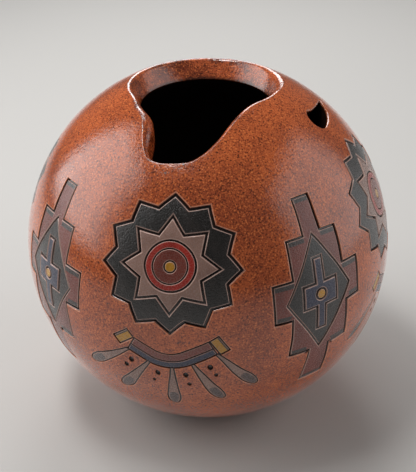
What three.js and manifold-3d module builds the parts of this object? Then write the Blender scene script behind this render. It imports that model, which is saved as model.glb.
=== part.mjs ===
// A round carved seed pot: one fired clay shell, with fields of coloured slip laid in its carved pockets.
// Millimetres and degrees, +Z up. The origin is the middle of the flat base, and the front faces -Y.

import * as THREE from "three";
import { mergeVertices } from "three/addons/utils/BufferGeometryUtils.js";
import Module from "manifold-3d";

// Pot body
const POT_RADIUS = 70;
const WALL_THICKNESS = 8.5;
const FLOOR_THICKNESS = 9;
const BASE_RADIUS = 25;

// Carving and slip, the same for every motif
const GROOVE_WIDTH = 0.9;
const SLIP_DEPTH = 0.2;
const SLIP_THICKNESS = 1;
const SEAT_GAP = 0.3;

// Mouth, drawn on the plane that touches the top of the pot: a round opening with a tongue cut to the front
const MOUTH_RADIUS = 30;
const MOUTH_BACK_OFFSET = 2.5;
const MOUTH_RIGHT_ANGLE = -32;
const MOUTH_LEFT_ANGLE = 212;
const TONGUE_LENGTH = 58;
const TONGUE_LEFT_WIDTH = 15.5;
const TONGUE_RIGHT_WIDTH = 15;

// The tongue's edge from the left flank round to the right one, as shares of its widths and its length
const TONGUE_LEFT_EDGE = [
  [1.36, 0.385], [1.05, 0.51], [0.98, 0.64], [1.01, 0.84], [0.9, 0.95], [0.6, 1], [0.1, 1],
];
const TONGUE_RIGHT_EDGE = [[0.3, 0.97], [0.66, 0.87], [0.96, 0.71], [1.18, 0.51], [1.43, 0.34]];

// Tear-shaped hole through the right shoulder, drawn on the plane that touches the pot there
const TEAR_AZIMUTH = 90;
const TEAR_LATITUDE_ANGLE = 51;
const TEAR_HEAD_RADIUS = 4.7;
const TEAR_LENGTH = 19.8;
const TEAR_TIP_RISE = 0.4;
const TEAR_HEAD_OFFSET = -5.6;
const TEAR_HEAD_HEIGHT = 2.2;
const TEAR_BELLY_SHARE = 0.6;
const TEAR_BELLY_DROP = 0.7;
const TEAR_NAPE_ANGLE = 80;
const TEAR_NAPE_OFFSET = 3.1;
const TEAR_NAPE_DROP = 2.6;

// Sun medallion on each side, from its middle outwards, and its distance from the mouth's tongue
const MEDALLION_MOUTH_GAP = 11;
const MEDALLION_DOT_RADIUS = 2;
const MEDALLION_HEART_WIDTH = 4;
const MEDALLION_RING_WIDTH = 2.6;
const STAR_POINT_COUNT = 8;
const STAR_WEB_WIDTH = 2.9;
const STAR_POINT_LENGTH = 5.6;
const SUN_RAY_COUNT = 12;
const SUN_WEB_WIDTH = 3.4;
const SUN_RAY_LENGTH = 4.4;

// Feather fan under each medallion: two bands that dip in the middle, a bar at each end, five feathers
const FAN_MEDALLION_GAP = 15.5;
const BAND_LEFT_OFFSET = -13.4;
const BAND_LEFT_HEIGHT = 11.6;
const BAND_RIGHT_OFFSET = 13.4;
const BAND_RIGHT_HEIGHT = 12.4;
const BAND_DIP_OFFSET = -1.4;
const BAND_DIP_HEIGHT = 5.2;
const BAND_BEND_SHARE = 0.36;
const UPPER_BAND_WIDTH = 3.4;
const LOWER_BAND_WIDTH = 2.9;
const BAR_LENGTH = 7;
const BAR_WIDTH = 4;
const BAR_CLEARANCE = 0.5;
const LEFT_BAR_TILT_ANGLE = 25;
const RIGHT_BAR_TILT_ANGLE = 5;
const FEATHER_LEAN_ANGLES = [-53, -35, -3, 25, 38];
const FEATHER_ROOT_SHARES = [0, 0.3, 0.475, 0.66, 1];
const FEATHER_LENGTH = 24;
const FEATHER_WIDTH = 5;
const FEATHER_ROOT_WIDTH = 1.9;
const FEATHER_WIDEST_SHARE = 0.72;
const ROOT_LINE_HOLD_WIDTH = 0.2;
const ROOT_LINE_THICKNESS = 0.4;

// Stepped diamond between the sides, each width stepping out from the one above
const DIAMOND_LATITUDE_ANGLE = 7.5;
const TOP_BAR_HALF_WIDTH = 3.6;
const TOP_BAR_HEIGHT = 15.6;
const UPPER_TIER_WIDTH = 7.2;
const UPPER_TIER_HEIGHT = 14.8;
const MIDDLE_TIER_WIDTH = 8.1;
const MIDDLE_TIER_HEIGHT = 14.6;
const MIDDLE_TIER_TOP_HEIGHT = 8.5;
const LOWER_TIER_WIDTH = 7;
const LOWER_SPLAY_WIDTH = 1.2;
const LOWER_TIER_HEIGHT = 16.2;
const FOOT_TIER_WIDTH = 8.8;
const FOOT_SPLAY_WIDTH = 1.2;
const FOOT_HEIGHT = 19.6;
const DIAMOND_CORNER_NECK_WIDTH = 0.4;
const CROSS_STEM_HALF_WIDTH = 1.9;
const CROSS_STEM_HALF_HEIGHT = 13.8;
const CROSS_ARM_HALF_LENGTH = 7.3;
const CROSS_ARM_HALF_HEIGHT = 4.5;
const DIAMOND_DOT_RADIUS = 1.9;

// How finely round shapes are cut into flat faces
const RING_SEGMENTS = 40;
const PROFILE_SEGMENTS = 16;
const HOLLOW_RING_SEGMENTS = 24;
const HOLLOW_PROFILE_SEGMENTS = 12;
const MOUTH_POINTS = 44;
const TEAR_QUARTER_POINTS = 6;
const DOT_POINTS = 8;
const CIRCLE_POINTS = 12;
const BEND_POINTS = 4;
const FEATHER_TIP_POINTS = 2;
const MERGE_DISTANCE = 1e-4;

// Radial cuts run between these shares of the distance from the pot's centre to the touching plane
const CUT_NEAR = 0.5;
const CUT_FAR = 1.1;

// Clay and slip colours
const CLAY = { color: 0x94502e, roughness: 0.45 };
const CHARCOAL = { color: 0x2a2a28, roughness: 0.5 };
const TAUPE = { color: 0x7b6d63, roughness: 0.6 };
const MAUVE = { color: 0x5e3a36, roughness: 0.6 };
const RED = { color: 0x9a2f28, roughness: 0.55 };
const SLATE = { color: 0x3f4658, roughness: 0.6 };
const OCHRE = { color: 0xb58a2a, roughness: 0.55 };

// The places that repeat each motif, with their azimuths from the front towards +X, set out by eye
const SIDES = { front: 0, right: 87, back: 180, left: 270 };
const CORNERS = { front_right: 45, back_right: 135, back_left: 225, front_left: 315 };

const CENTRE_HEIGHT = Math.sqrt(POT_RADIUS ** 2 - BASE_RADIUS ** 2);
const SLIP_TOP_RADIUS = POT_RADIUS - SLIP_DEPTH;
const SLIP_FOOT_RADIUS = SLIP_TOP_RADIUS - SLIP_THICKNESS;
const POCKET_RADIUS = SLIP_FOOT_RADIUS - SEAT_GAP;
const HALF_GROOVE = GROOVE_WIDTH / 2;
const TOP_LATITUDE = 90;

const HEART_RADIUS = MEDALLION_DOT_RADIUS + MEDALLION_HEART_WIDTH;
const RING_RADIUS = HEART_RADIUS + MEDALLION_RING_WIDTH;
const STAR_ROOT_RADIUS = RING_RADIUS + STAR_WEB_WIDTH;
const STAR_TIP_RADIUS = STAR_ROOT_RADIUS + STAR_POINT_LENGTH;
const SUN_ROOT_RADIUS = STAR_TIP_RADIUS + SUN_WEB_WIDTH;
const SUN_TIP_RADIUS = SUN_ROOT_RADIUS + SUN_RAY_LENGTH;
const BANDS_DEPTH = UPPER_BAND_WIDTH + LOWER_BAND_WIDTH;

// From an inner corner of the diamond's steps to the field's side: half a groove at each, and a neck between
const CORNER_CLEARANCE = HALF_GROOVE + Math.SQRT2 * HALF_GROOVE + DIAMOND_CORNER_NECK_WIDTH;

const wasm = await Module();
wasm.setup();

const { degToRad, radToDeg, lerp } = THREE.MathUtils;

// The angle at the pot's centre of a length along its skin, and of an offset on a touching plane
function skinAngle(length) {
  return radToDeg(length / POT_RADIUS);
}

function planeAngle(offset) {
  return radToDeg(Math.atan(offset / POT_RADIUS));
}

// The motifs of a side hang in a column: the mouth's tongue, the medallion, then the fan
const TONGUE_LATITUDE = TOP_LATITUDE - planeAngle(TONGUE_LENGTH);
const MEDALLION_HALF_ANGLE = planeAngle(SUN_TIP_RADIUS);
const MEDALLION_LATITUDE = TONGUE_LATITUDE - skinAngle(MEDALLION_MOUTH_GAP) - MEDALLION_HALF_ANGLE;
const FAN_LATITUDE = MEDALLION_LATITUDE - MEDALLION_HALF_ANGLE - skinAngle(FAN_MEDALLION_GAP);

// A closed geometry as a solid that can be joined and cut
function solidOf(geometry) {
  const bare = geometry.clone();
  bare.deleteAttribute("normal");
  bare.deleteAttribute("uv");
  const merged = mergeVertices(bare, MERGE_DISTANCE);
  const mesh = new wasm.Mesh({
    numProp: 3,
    vertProperties: merged.attributes.position.array,
    triVerts: Uint32Array.from(merged.index.array),
  });
  return new wasm.Manifold(mesh);
}

// A solid as a geometry for a mesh
function geometryOf(solid) {
  const { vertProperties, triVerts } = solid.getMesh();
  const geometry = new THREE.BufferGeometry();
  geometry.setAttribute("position", new THREE.BufferAttribute(vertProperties, 3));
  geometry.setIndex(new THREE.BufferAttribute(triVerts, 1));
  geometry.computeVertexNormals();
  return geometry;
}

function joined(solids) {
  return solids.reduce((whole, next) => whole.add(next));
}

// A ball round the pot's centre
function ball(radius, profileSegments = PROFILE_SEGMENTS, ringSegments = RING_SEGMENTS) {
  const profile = new THREE.Path().absarc(0, 0, radius, -Math.PI / 2, Math.PI / 2);
  const points = profile.getSpacedPoints(profileSegments);
  const geometry = new THREE.LatheGeometry(points, ringSegments);
  return solidOf(geometry.rotateX(Math.PI / 2));
}

// The space under a level plane, wide enough to cut the whole pot
function spaceBelow(height) {
  const width = 4 * POT_RADIUS;
  const box = new THREE.BoxGeometry(width, width, width);
  return solidOf(box.translate(0, 0, height - width / 2));
}

// An outline on the plane that touches the pot at a latitude and azimuth, as a cut towards the pot's centre
function radialCut(outline, latitude, azimuth = 0) {
  const cut = new THREE.ExtrudeGeometry(new THREE.Shape(outline), { depth: 1, bevelEnabled: false });
  const position = cut.getAttribute("position");
  for (let i = 0; i < position.count; i += 1) {
    const share = lerp(CUT_NEAR, CUT_FAR, position.getZ(i));
    position.setXYZ(i, position.getX(i) * share, position.getY(i) * share, POT_RADIUS * share);
  }
  return solidOf(cut.rotateX(degToRad(TOP_LATITUDE - latitude)).rotateZ(degToRad(azimuth)));
}

function at(across, up) {
  return new THREE.Vector2(across, up);
}

function turnedBy(vector, angle) {
  return vector.clone().rotateAround(at(0, 0), degToRad(angle));
}

// A closed outline as points that run anticlockwise, without a repeated last point
function outlineOf(points) {
  const last = points.length - 1;
  const open = points[0].distanceTo(points[last]) < MERGE_DISTANCE ? points.slice(0, last) : points;
  return THREE.ShapeUtils.isClockWise(open) ? open.toReversed() : open;
}

// A corner moved so that both its sides lie a distance to the right of the way that they run
function movedCorner(before, corner, after, distance) {
  const into = corner.clone().sub(before).normalize();
  const away = after.clone().sub(corner).normalize();
  const mitre = at(into.y + away.y, -into.x - away.x);
  return mitre.multiplyScalar((2 * distance) / mitre.lengthSq()).add(corner);
}

// A closed outline with its sides moved outwards, or inwards by a negative distance
function grown(outline, distance) {
  return outline.map((corner, i) => {
    const after = outline[(i + 1) % outline.length];
    return movedCorner(outline.at(i - 1), corner, after, distance);
  });
}

// A line of points that runs from left to right, moved down
function lowered(line, distance) {
  return line.map((corner, i) => {
    const before = line[i - 1] ?? corner.clone().multiplyScalar(2).sub(line[i + 1]);
    const after = line[i + 1] ?? corner.clone().multiplyScalar(2).sub(line[i - 1]);
    return movedCorner(before, corner, after, distance);
  });
}

function circle(across, up, radius, count) {
  const path = new THREE.Path().absarc(across, up, radius, 0, 2 * Math.PI);
  return outlineOf(path.getSpacedPoints(count));
}

// A star with its first tip at the top
function star(count, rootRadius, tipRadius) {
  const points = [];
  for (let i = 0; i < 2 * count; i += 1) {
    const reach = i % 2 ? rootRadius : tipRadius;
    points.push(turnedBy(at(0, reach), (i * 180) / count));
  }
  return outlineOf(points);
}

// The right-hand points of an outline with their mirror image across the upright axis
function mirrored(rightSide) {
  const leftSide = rightSide.map((corner) => at(-corner.x, corner.y)).reverse();
  return outlineOf([...rightSide, ...leftSide]);
}

// Mouth and tear

function mouthOutline() {
  const path = new THREE.Path();
  path.absarc(0, MOUTH_BACK_OFFSET, MOUTH_RADIUS, degToRad(MOUTH_RIGHT_ANGLE), degToRad(MOUTH_LEFT_ANGLE));
  const start = path.getPoint(0);
  path.splineThru([
    ...TONGUE_LEFT_EDGE.map(([width, reach]) => at(-width * TONGUE_LEFT_WIDTH, -reach * TONGUE_LENGTH)),
    ...TONGUE_RIGHT_EDGE.map(([width, reach]) => at(width * TONGUE_RIGHT_WIDTH, -reach * TONGUE_LENGTH)),
    start,
  ]);
  return outlineOf(path.getSpacedPoints(MOUTH_POINTS));
}

// A round head drawn out to a tip on the right, by a full belly below and a hollow nape above
function tearOutline() {
  const head = at(TEAR_HEAD_OFFSET, TEAR_HEAD_HEIGHT);
  const nape = turnedBy(at(TEAR_HEAD_RADIUS, 0), TEAR_NAPE_ANGLE).add(head);
  const tip = at(TEAR_LENGTH, TEAR_TIP_RISE).add(head);
  const bellyBend = at(TEAR_BELLY_SHARE * TEAR_LENGTH, -TEAR_HEAD_RADIUS - TEAR_BELLY_DROP).add(head);
  const napeBend = at(TEAR_NAPE_OFFSET, TEAR_HEAD_RADIUS - TEAR_NAPE_DROP).add(head);
  const path = new THREE.Path();
  path.absarc(head.x, head.y, TEAR_HEAD_RADIUS, degToRad(TEAR_NAPE_ANGLE), 1.5 * Math.PI);
  path.quadraticCurveTo(bellyBend.x, bellyBend.y, tip.x, tip.y);
  path.quadraticCurveTo(napeBend.x, napeBend.y, nape.x, nape.y);
  return outlineOf(path.getPoints(TEAR_QUARTER_POINTS));
}

// Motifs: each piece is a slip field with its outline, the outline of the field set into it, and its colour

function medallionPieces() {
  const dot = circle(0, 0, MEDALLION_DOT_RADIUS, DOT_POINTS);
  const heart = circle(0, 0, HEART_RADIUS, CIRCLE_POINTS);
  const ring = circle(0, 0, RING_RADIUS, CIRCLE_POINTS);
  const starField = star(STAR_POINT_COUNT, STAR_ROOT_RADIUS, STAR_TIP_RADIUS);
  const sun = star(SUN_RAY_COUNT, SUN_ROOT_RADIUS, SUN_TIP_RADIUS);
  return {
    medallion_sun: { outline: sun, inset: starField, slip: CHARCOAL },
    medallion_star: { outline: starField, inset: ring, slip: TAUPE },
    medallion_ring: { outline: ring, inset: heart, slip: RED },
    medallion_heart: { outline: heart, inset: dot, slip: MAUVE },
    medallion_dot: { outline: dot, slip: OCHRE },
  };
}

// The way that a side of the field runs from its tip, to pass a corner of the steps at a clearance
function sideClearOf(corner, tip, clearance) {
  const toCorner = corner.clone().sub(tip);
  return turnedBy(toCorner, radToDeg(Math.asin(clearance / toCorner.length())));
}

// Where a line from one point meets a line from another
function crossing(first, firstWay, second, secondWay) {
  const between = second.clone().sub(first);
  return first.clone().addScaledVector(firstWay, between.cross(secondWay) / firstWay.cross(secondWay));
}

function diamondPieces() {
  const upperHalf = TOP_BAR_HALF_WIDTH + UPPER_TIER_WIDTH;
  const middleHalf = upperHalf + MIDDLE_TIER_WIDTH;
  const lowerHalf = middleHalf - LOWER_TIER_WIDTH;
  const footHalf = lowerHalf + LOWER_SPLAY_WIDTH - FOOT_TIER_WIDTH;
  const upperTop = MIDDLE_TIER_TOP_HEIGHT + UPPER_TIER_HEIGHT;
  const middleBottom = MIDDLE_TIER_TOP_HEIGHT - MIDDLE_TIER_HEIGHT;
  const lowerBottom = middleBottom - LOWER_TIER_HEIGHT;
  const steps = mirrored([
    at(TOP_BAR_HALF_WIDTH, upperTop + TOP_BAR_HEIGHT),
    at(TOP_BAR_HALF_WIDTH, upperTop),
    at(upperHalf, upperTop),
    at(upperHalf, MIDDLE_TIER_TOP_HEIGHT),
    at(middleHalf, MIDDLE_TIER_TOP_HEIGHT),
    at(middleHalf, middleBottom),
    at(lowerHalf, middleBottom),
    at(lowerHalf + LOWER_SPLAY_WIDTH, lowerBottom),
    at(footHalf, lowerBottom),
    at(footHalf + FOOT_SPLAY_WIDTH, lowerBottom - FOOT_HEIGHT),
  ]);
  const topTip = at(0, upperTop);
  const bottomTip = at(0, lowerBottom);
  const sideTip = crossing(
    topTip,
    sideClearOf(at(upperHalf, MIDDLE_TIER_TOP_HEIGHT), topTip, -CORNER_CLEARANCE),
    bottomTip,
    sideClearOf(at(lowerHalf, middleBottom), bottomTip, CORNER_CLEARANCE),
  );
  const field = outlineOf([topTip, sideTip, bottomTip, at(-sideTip.x, sideTip.y)]);
  const middle = (upperTop + lowerBottom) / 2;
  const cross = mirrored([
    at(CROSS_STEM_HALF_WIDTH, middle + CROSS_STEM_HALF_HEIGHT),
    at(CROSS_STEM_HALF_WIDTH, middle + CROSS_ARM_HALF_HEIGHT),
    at(CROSS_ARM_HALF_LENGTH, middle + CROSS_ARM_HALF_HEIGHT),
    at(CROSS_ARM_HALF_LENGTH, middle - CROSS_ARM_HALF_HEIGHT),
    at(CROSS_STEM_HALF_WIDTH, middle - CROSS_ARM_HALF_HEIGHT),
    at(CROSS_STEM_HALF_WIDTH, middle - CROSS_STEM_HALF_HEIGHT),
  ]);
  const dot = circle(0, middle, DIAMOND_DOT_RADIUS, DOT_POINTS);
  return {
    diamond_steps: { outline: steps, inset: field, slip: MAUVE },
    diamond_field: { outline: field, inset: cross, slip: CHARCOAL },
    diamond_cross: { outline: cross, inset: dot, slip: SLATE },
    diamond_dot: { outline: dot, slip: OCHRE },
  };
}

// The fan's top edge, from left to right: two straight runs joined by a bend
function fanEdge() {
  const left = at(BAND_LEFT_OFFSET, BAND_LEFT_HEIGHT);
  const dip = at(BAND_DIP_OFFSET, BAND_DIP_HEIGHT);
  const right = at(BAND_RIGHT_OFFSET, BAND_RIGHT_HEIGHT);
  const bendStart = dip.clone().lerp(left, BAND_BEND_SHARE);
  const bendEnd = dip.clone().lerp(right, BAND_BEND_SHARE);
  const path = new THREE.Path().moveTo(left.x, left.y).lineTo(bendStart.x, bendStart.y);
  path.quadraticCurveTo(dip.x, dip.y, bendEnd.x, bendEnd.y);
  return path.lineTo(right.x, right.y);
}

// A band under the fan's edge, between two depths
function band(edge, top, bottom) {
  const line = edge.getPoints(BEND_POINTS);
  return outlineOf([...lowered(line, bottom), ...lowered(line, top).reverse()]);
}

// A bar past one end of the bands, tilted out from the end. The side is -1 on the left and 1 on the right
function endBar(edge, side, tilt) {
  const share = side < 0 ? 0 : 1;
  const outwards = edge.getTangentAt(share).multiplyScalar(side);
  const corner = edge.getPointAt(share).addScaledVector(outwards, BAR_CLEARANCE);
  const width = turnedBy(outwards, side * tilt).multiplyScalar(BAR_WIDTH);
  const length = turnedBy(outwards, side * (tilt - 90)).multiplyScalar(BAR_LENGTH);
  const foot = corner.clone().add(length);
  return outlineOf([corner, foot, foot.clone().add(width), corner.clone().add(width)]);
}

// A feather from its narrow root, widening down to a round tip
function feather(root, lean) {
  const widest = -FEATHER_WIDEST_SHARE * FEATHER_LENGTH;
  const tip = -FEATHER_LENGTH;
  const shoulder = lerp(widest, tip, 2 / 3);
  const half = FEATHER_WIDTH / 2;
  const path = new THREE.Path().moveTo(-FEATHER_ROOT_WIDTH / 2, 0).lineTo(-half, widest);
  path.bezierCurveTo(-half, shoulder, -half / 2, tip, 0, tip);
  path.bezierCurveTo(half / 2, tip, half, shoulder, half, widest);
  path.lineTo(FEATHER_ROOT_WIDTH / 2, 0);
  return outlineOf(path.getPoints(FEATHER_TIP_POINTS).map((corner) => turnedBy(corner, lean).add(root)));
}

// The feathers hang from the lower band, each at its share of the band's length
function featherOutlines(edge) {
  return FEATHER_LEAN_ANGLES.map((lean, i) => {
    const share = FEATHER_ROOT_SHARES[i];
    const along = edge.getTangentAt(share);
    const root = edge.getPointAt(share).addScaledVector(turnedBy(along, -90), BANDS_DEPTH);
    return feather(root, lean);
  });
}

// A thin line in the foot of the groove under the bands, where the feathers' roots meet
function rootLine(edge) {
  return band(edge, BANDS_DEPTH - HALF_GROOVE + SEAT_GAP, BANDS_DEPTH + HALF_GROOVE + ROOT_LINE_HOLD_WIDTH);
}

function fanPieces() {
  const edge = fanEdge();
  return {
    fan_upper_band: { outline: band(edge, 0, UPPER_BAND_WIDTH), slip: MAUVE },
    fan_lower_band: { outline: band(edge, UPPER_BAND_WIDTH, BANDS_DEPTH), slip: SLATE },
    fan_left_bar: { outline: endBar(edge, -1, LEFT_BAR_TILT_ANGLE), slip: OCHRE },
    fan_right_bar: { outline: endBar(edge, 1, RIGHT_BAR_TILT_ANGLE), slip: OCHRE },
  };
}

const medallion = medallionPieces();
const fan = fanPieces();
const diamond = diamondPieces();

const slipFoot = ball(SLIP_FOOT_RADIUS);
const slipLayer = ball(SLIP_TOP_RADIUS).subtract(slipFoot);
const pocketFloor = ball(POCKET_RADIUS);

// A slip field at the front of the pot, with half a groove left all round it
function slipField(piece, latitude) {
  const plate = radialCut(grown(piece.outline, -HALF_GROOVE), latitude).intersect(slipLayer);
  return piece.inset ? plate.subtract(radialCut(grown(piece.inset, HALF_GROOVE), latitude)) : plate;
}

// The five feathers of a fan, tied at their roots by the thin line of the same slip
function featherRow() {
  const edge = fanEdge();
  const feathers = featherOutlines(edge).map((outline) => slipField({ outline }, FAN_LATITUDE));
  const lineLayer = ball(SLIP_FOOT_RADIUS + ROOT_LINE_THICKNESS).subtract(slipFoot);
  const line = radialCut(rootLine(edge), FAN_LATITUDE).intersect(lineLayer);
  return joined([line, ...feathers]);
}

// What a motif takes out of the pot's skin: the pocket of every field, half a groove wider than its outline
function pocketOf(outlines, latitude, azimuth) {
  const cuts = outlines.map((outline) => radialCut(grown(outline, HALF_GROOVE), latitude, azimuth));
  return joined(cuts).subtract(pocketFloor);
}

// The outlines that a fan carves: its bands and bars, its feathers, and the line at their roots
function fanOutlines() {
  const edge = fanEdge();
  const fields = Object.values(fan).map((piece) => piece.outline);
  return [...fields, ...featherOutlines(edge), rootLine(edge)];
}

// The fired clay shell: a ball with a flat base, hollowed, opened at the mouth and the tear, and carved
function potShell() {
  const hollowBall = ball(POT_RADIUS - WALL_THICKNESS, HOLLOW_PROFILE_SEGMENTS, HOLLOW_RING_SEGMENTS);
  const hollow = hollowBall.subtract(spaceBelow(FLOOR_THICKNESS - CENTRE_HEIGHT));
  const mouth = radialCut(mouthOutline(), TOP_LATITUDE);
  const tear = radialCut(tearOutline(), TEAR_LATITUDE_ANGLE, TEAR_AZIMUTH);
  const body = ball(POT_RADIUS).subtract(spaceBelow(-CENTRE_HEIGHT));
  let shell = body.subtract(hollow).subtract(mouth).subtract(tear);
  for (const azimuth of Object.values(SIDES)) {
    shell = shell.subtract(pocketOf([medallion.medallion_sun.outline], MEDALLION_LATITUDE, azimuth));
    shell = shell.subtract(pocketOf(fanOutlines(), FAN_LATITUDE, azimuth));
  }
  for (const azimuth of Object.values(CORNERS)) {
    shell = shell.subtract(pocketOf([diamond.diamond_steps.outline], DIAMOND_LATITUDE_ANGLE, azimuth));
  }
  return shell;
}

function meshOf(name, geometry, finish) {
  const mesh = new THREE.Mesh(geometry, new THREE.MeshStandardMaterial({ ...finish, metalness: 0 }));
  mesh.name = name;
  return mesh;
}

// The geometry and colour of each field of a motif, at the front of the pot
function fieldsOf(pieces, latitude) {
  const fields = Object.entries(pieces).map(([name, piece]) => {
    return [name, { geometry: geometryOf(slipField(piece, latitude)), slip: piece.slip }];
  });
  return Object.fromEntries(fields);
}

// A named copy of each field, turned about the pot's axis to its place
function placedFields(place, azimuth, fields) {
  const group = new THREE.Group();
  group.rotation.z = degToRad(azimuth);
  for (const [name, { geometry, slip }] of Object.entries(fields)) {
    group.add(meshOf(`${place}_${name}`, geometry, slip));
  }
  return group;
}

const sideFields = {
  ...fieldsOf(medallion, MEDALLION_LATITUDE),
  ...fieldsOf(fan, FAN_LATITUDE),
  fan_feathers: { geometry: geometryOf(featherRow()), slip: TAUPE },
};
const cornerFields = fieldsOf(diamond, DIAMOND_LATITUDE_ANGLE);

// The pot is built round its own centre, then lifted to stand on its base
const pot = new THREE.Group();
pot.position.z = CENTRE_HEIGHT;
pot.add(meshOf("pot_shell", geometryOf(potShell()), CLAY));
for (const [place, azimuth] of Object.entries(SIDES)) {
  pot.add(placedFields(place, azimuth, sideFields));
}
for (const [place, azimuth] of Object.entries(CORNERS)) {
  pot.add(placedFields(place, azimuth, cornerFields));
}

const part = new THREE.Group();
part.add(pot);

export default part;
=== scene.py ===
"""A round carved seed pot: a burnished clay shell with fields of coloured slip laid in its carving.

Sizes are in millimetres and angles in degrees. Meshes are in metres, +Z up, with the front towards -Y.
"""

import logging
import math
from dataclasses import dataclass, field
from enum import Enum, IntEnum
from typing import Callable, Mapping, Optional, Sequence

import bmesh
import bpy
from mathutils import Matrix, Quaternion, Vector, noise


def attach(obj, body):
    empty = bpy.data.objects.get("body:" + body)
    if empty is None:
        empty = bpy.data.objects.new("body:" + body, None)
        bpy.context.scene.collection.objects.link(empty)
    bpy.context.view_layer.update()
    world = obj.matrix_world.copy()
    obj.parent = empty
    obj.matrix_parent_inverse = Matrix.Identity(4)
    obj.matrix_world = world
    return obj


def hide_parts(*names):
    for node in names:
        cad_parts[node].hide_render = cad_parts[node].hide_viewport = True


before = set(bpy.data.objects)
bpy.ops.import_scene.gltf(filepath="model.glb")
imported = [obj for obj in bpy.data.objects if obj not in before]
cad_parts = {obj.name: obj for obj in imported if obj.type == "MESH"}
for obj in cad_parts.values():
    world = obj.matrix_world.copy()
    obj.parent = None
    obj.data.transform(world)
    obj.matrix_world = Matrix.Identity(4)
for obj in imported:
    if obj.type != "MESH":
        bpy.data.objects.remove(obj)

LOG = logging.getLogger("seed_pot")
MM = 0.001

# Seed of the hand-drawn lines' stray. Without one it would come from the clock, and each run would differ
STRAY_SEED = 1

# Attributes of a field's points: how far inside the second coat they lie, and how far its edge leans there
WASH = "wash"
LEAN = "lean"

# How strongly the finer parts of the random patterns show
FRAY = 0.6

Outline = list[Vector]
Mark = tuple[Vector, Vector]
Measure = Callable[[Vector], float]
Shift = Callable[[Vector], Vector]
Inputs = Mapping[str | int, object]


class Slot(Enum):
    """Material slots of the record."""

    CLAY = "clay"
    CHARCOAL = "charcoal_slip"
    TAUPE = "taupe_slip"
    RED = "red_slip"
    MAUVE = "mauve_slip"
    SLATE = "slate_slip"
    OCHRE = "ochre_slip"


class Side(Enum):
    """Sides that carry a medallion and a fan, with their azimuths from the front towards +X."""

    front = 0.0
    right = 87.0
    back = 180.0
    left = 270.0


class Corner(Enum):
    """Corners that carry a stepped diamond, with their azimuths from the front towards +X."""

    front_right = 45.0
    back_right = 135.0
    back_left = 225.0
    front_left = 315.0


class Surface(IntEnum):
    """Surfaces of the shell, in the order of its materials."""

    SKIN = 0
    GROOVE = 1
    WALL = 2
    HOLE = 3
    INSIDE = 4


# Outlines on the flat

# Share of the way to a bend at which a curve's handles stand
HANDLE = 2 / 3


def flat(across: float, up: float) -> Vector:
    """Point of an outline."""
    return Vector((across, up))


def turned(spot: Vector, angle: float) -> Vector:
    """Point turned anticlockwise about the origin."""
    return Matrix.Rotation(math.radians(angle), 2) @ spot


def arc(centre: Vector, radius: float, start: float, end: float, count: int) -> Outline:
    """Points along an arc.

    Args:
        centre: Middle of the circle.
        radius: Radius of the circle.
        start: Angle of the first point.
        end: Angle of the last point.
        count: Number of stretches between the points.

    Returns:
        The points from start to end, both included.
    """
    angles = [start + (end - start) * step / count for step in range(count + 1)]
    return [centre + turned(flat(radius, 0.0), angle) for angle in angles]


def circle(centre: Vector, radius: float, count: int) -> Outline:
    """Closed circle as points."""
    return arc(centre, radius, 0.0, 360.0, count)[:-1]


def spline(points: Sequence[Vector], count: int) -> Outline:
    """Smooth line through points.

    Args:
        points: Points that the line passes through.
        count: Number of stretches between two neighbouring points.

    Returns:
        The line's points, without the first one.
    """
    line = []
    last = len(points) - 1
    for index in range(last):
        start, end = points[index], points[index + 1]
        leave = (end - points[max(index - 1, 0)]) / 2
        arrive = (points[min(index + 2, last)] - start) / 2
        for step in range(1, count + 1):
            share = step / count
            square, cube = share**2, share**3
            spot = start * (2 * cube - 3 * square + 1) + end * (3 * square - 2 * cube)
            line.append(spot + leave * (cube - 2 * square + share) + arrive * (cube - square))
    return line


def bezier(start: Vector, leave: Vector, arrive: Vector, end: Vector, count: int) -> Outline:
    """Curve that leaves and arrives along its handles.

    Args:
        start: First point.
        leave: Handle of the first point.
        arrive: Handle of the last point.
        end: Last point.
        count: Number of stretches between the points.

    Returns:
        The curve's points, without the first one.
    """
    line = []
    for step in range(1, count + 1):
        share = step / count
        rest = 1 - share
        ends = start * rest**3 + end * share**3
        line.append(ends + leave * (3 * rest**2 * share) + arrive * (3 * rest * share**2))
    return line


def bent(start: Vector, bend: Vector, end: Vector, count: int) -> Outline:
    """Points of a run that bends once, without the first point."""
    return bezier(start, start.lerp(bend, HANDLE), end.lerp(bend, HANDLE), end, count)


def moved_corner(before: Vector, corner: Vector, after: Vector, distance: float) -> Vector:
    """Moves a corner with both its sides.

    Args:
        before: Point before the corner.
        corner: The corner.
        after: Point after the corner.
        distance: How far its sides move to the right of the way that they run.

    Returns:
        The moved corner.
    """
    into = (corner - before).normalized()
    away = (after - corner).normalized()
    mitre = flat(into.y + away.y, -into.x - away.x)
    return corner + mitre * (2 * distance / mitre.length_squared)


def grown(outline: Outline, distance: float) -> Outline:
    """Closed anticlockwise outline with its sides moved outwards, or inwards by a negative distance."""
    count = len(outline)
    return [
        moved_corner(outline[i - 1], outline[i], outline[(i + 1) % count], distance) for i in range(count)
    ]


def lowered(line: Outline, distance: float) -> Outline:
    """Moves an open line down.

    Args:
        line: Points from left to right.
        distance: How far the line moves.

    Returns:
        The moved points.
    """
    first = line[0] * 2 - line[1]
    last = line[-1] * 2 - line[-2]
    longer = [first, *line, last]
    return [moved_corner(longer[i], longer[i + 1], longer[i + 2], distance) for i in range(len(line))]


def mirrored(right_side: Outline) -> Outline:
    """Right-hand points of an outline, from the top down, closed by their mirror image."""
    left_side = [flat(-spot.x, spot.y) for spot in right_side]
    return left_side + right_side[::-1]


def star(count: int, root: float, tip: float) -> Outline:
    """Star with its first tip at the top."""
    reaches = [tip, root] * count
    return [turned(flat(0.0, reach), index * 180 / count) for index, reach in enumerate(reaches)]


# The pot's form


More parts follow.
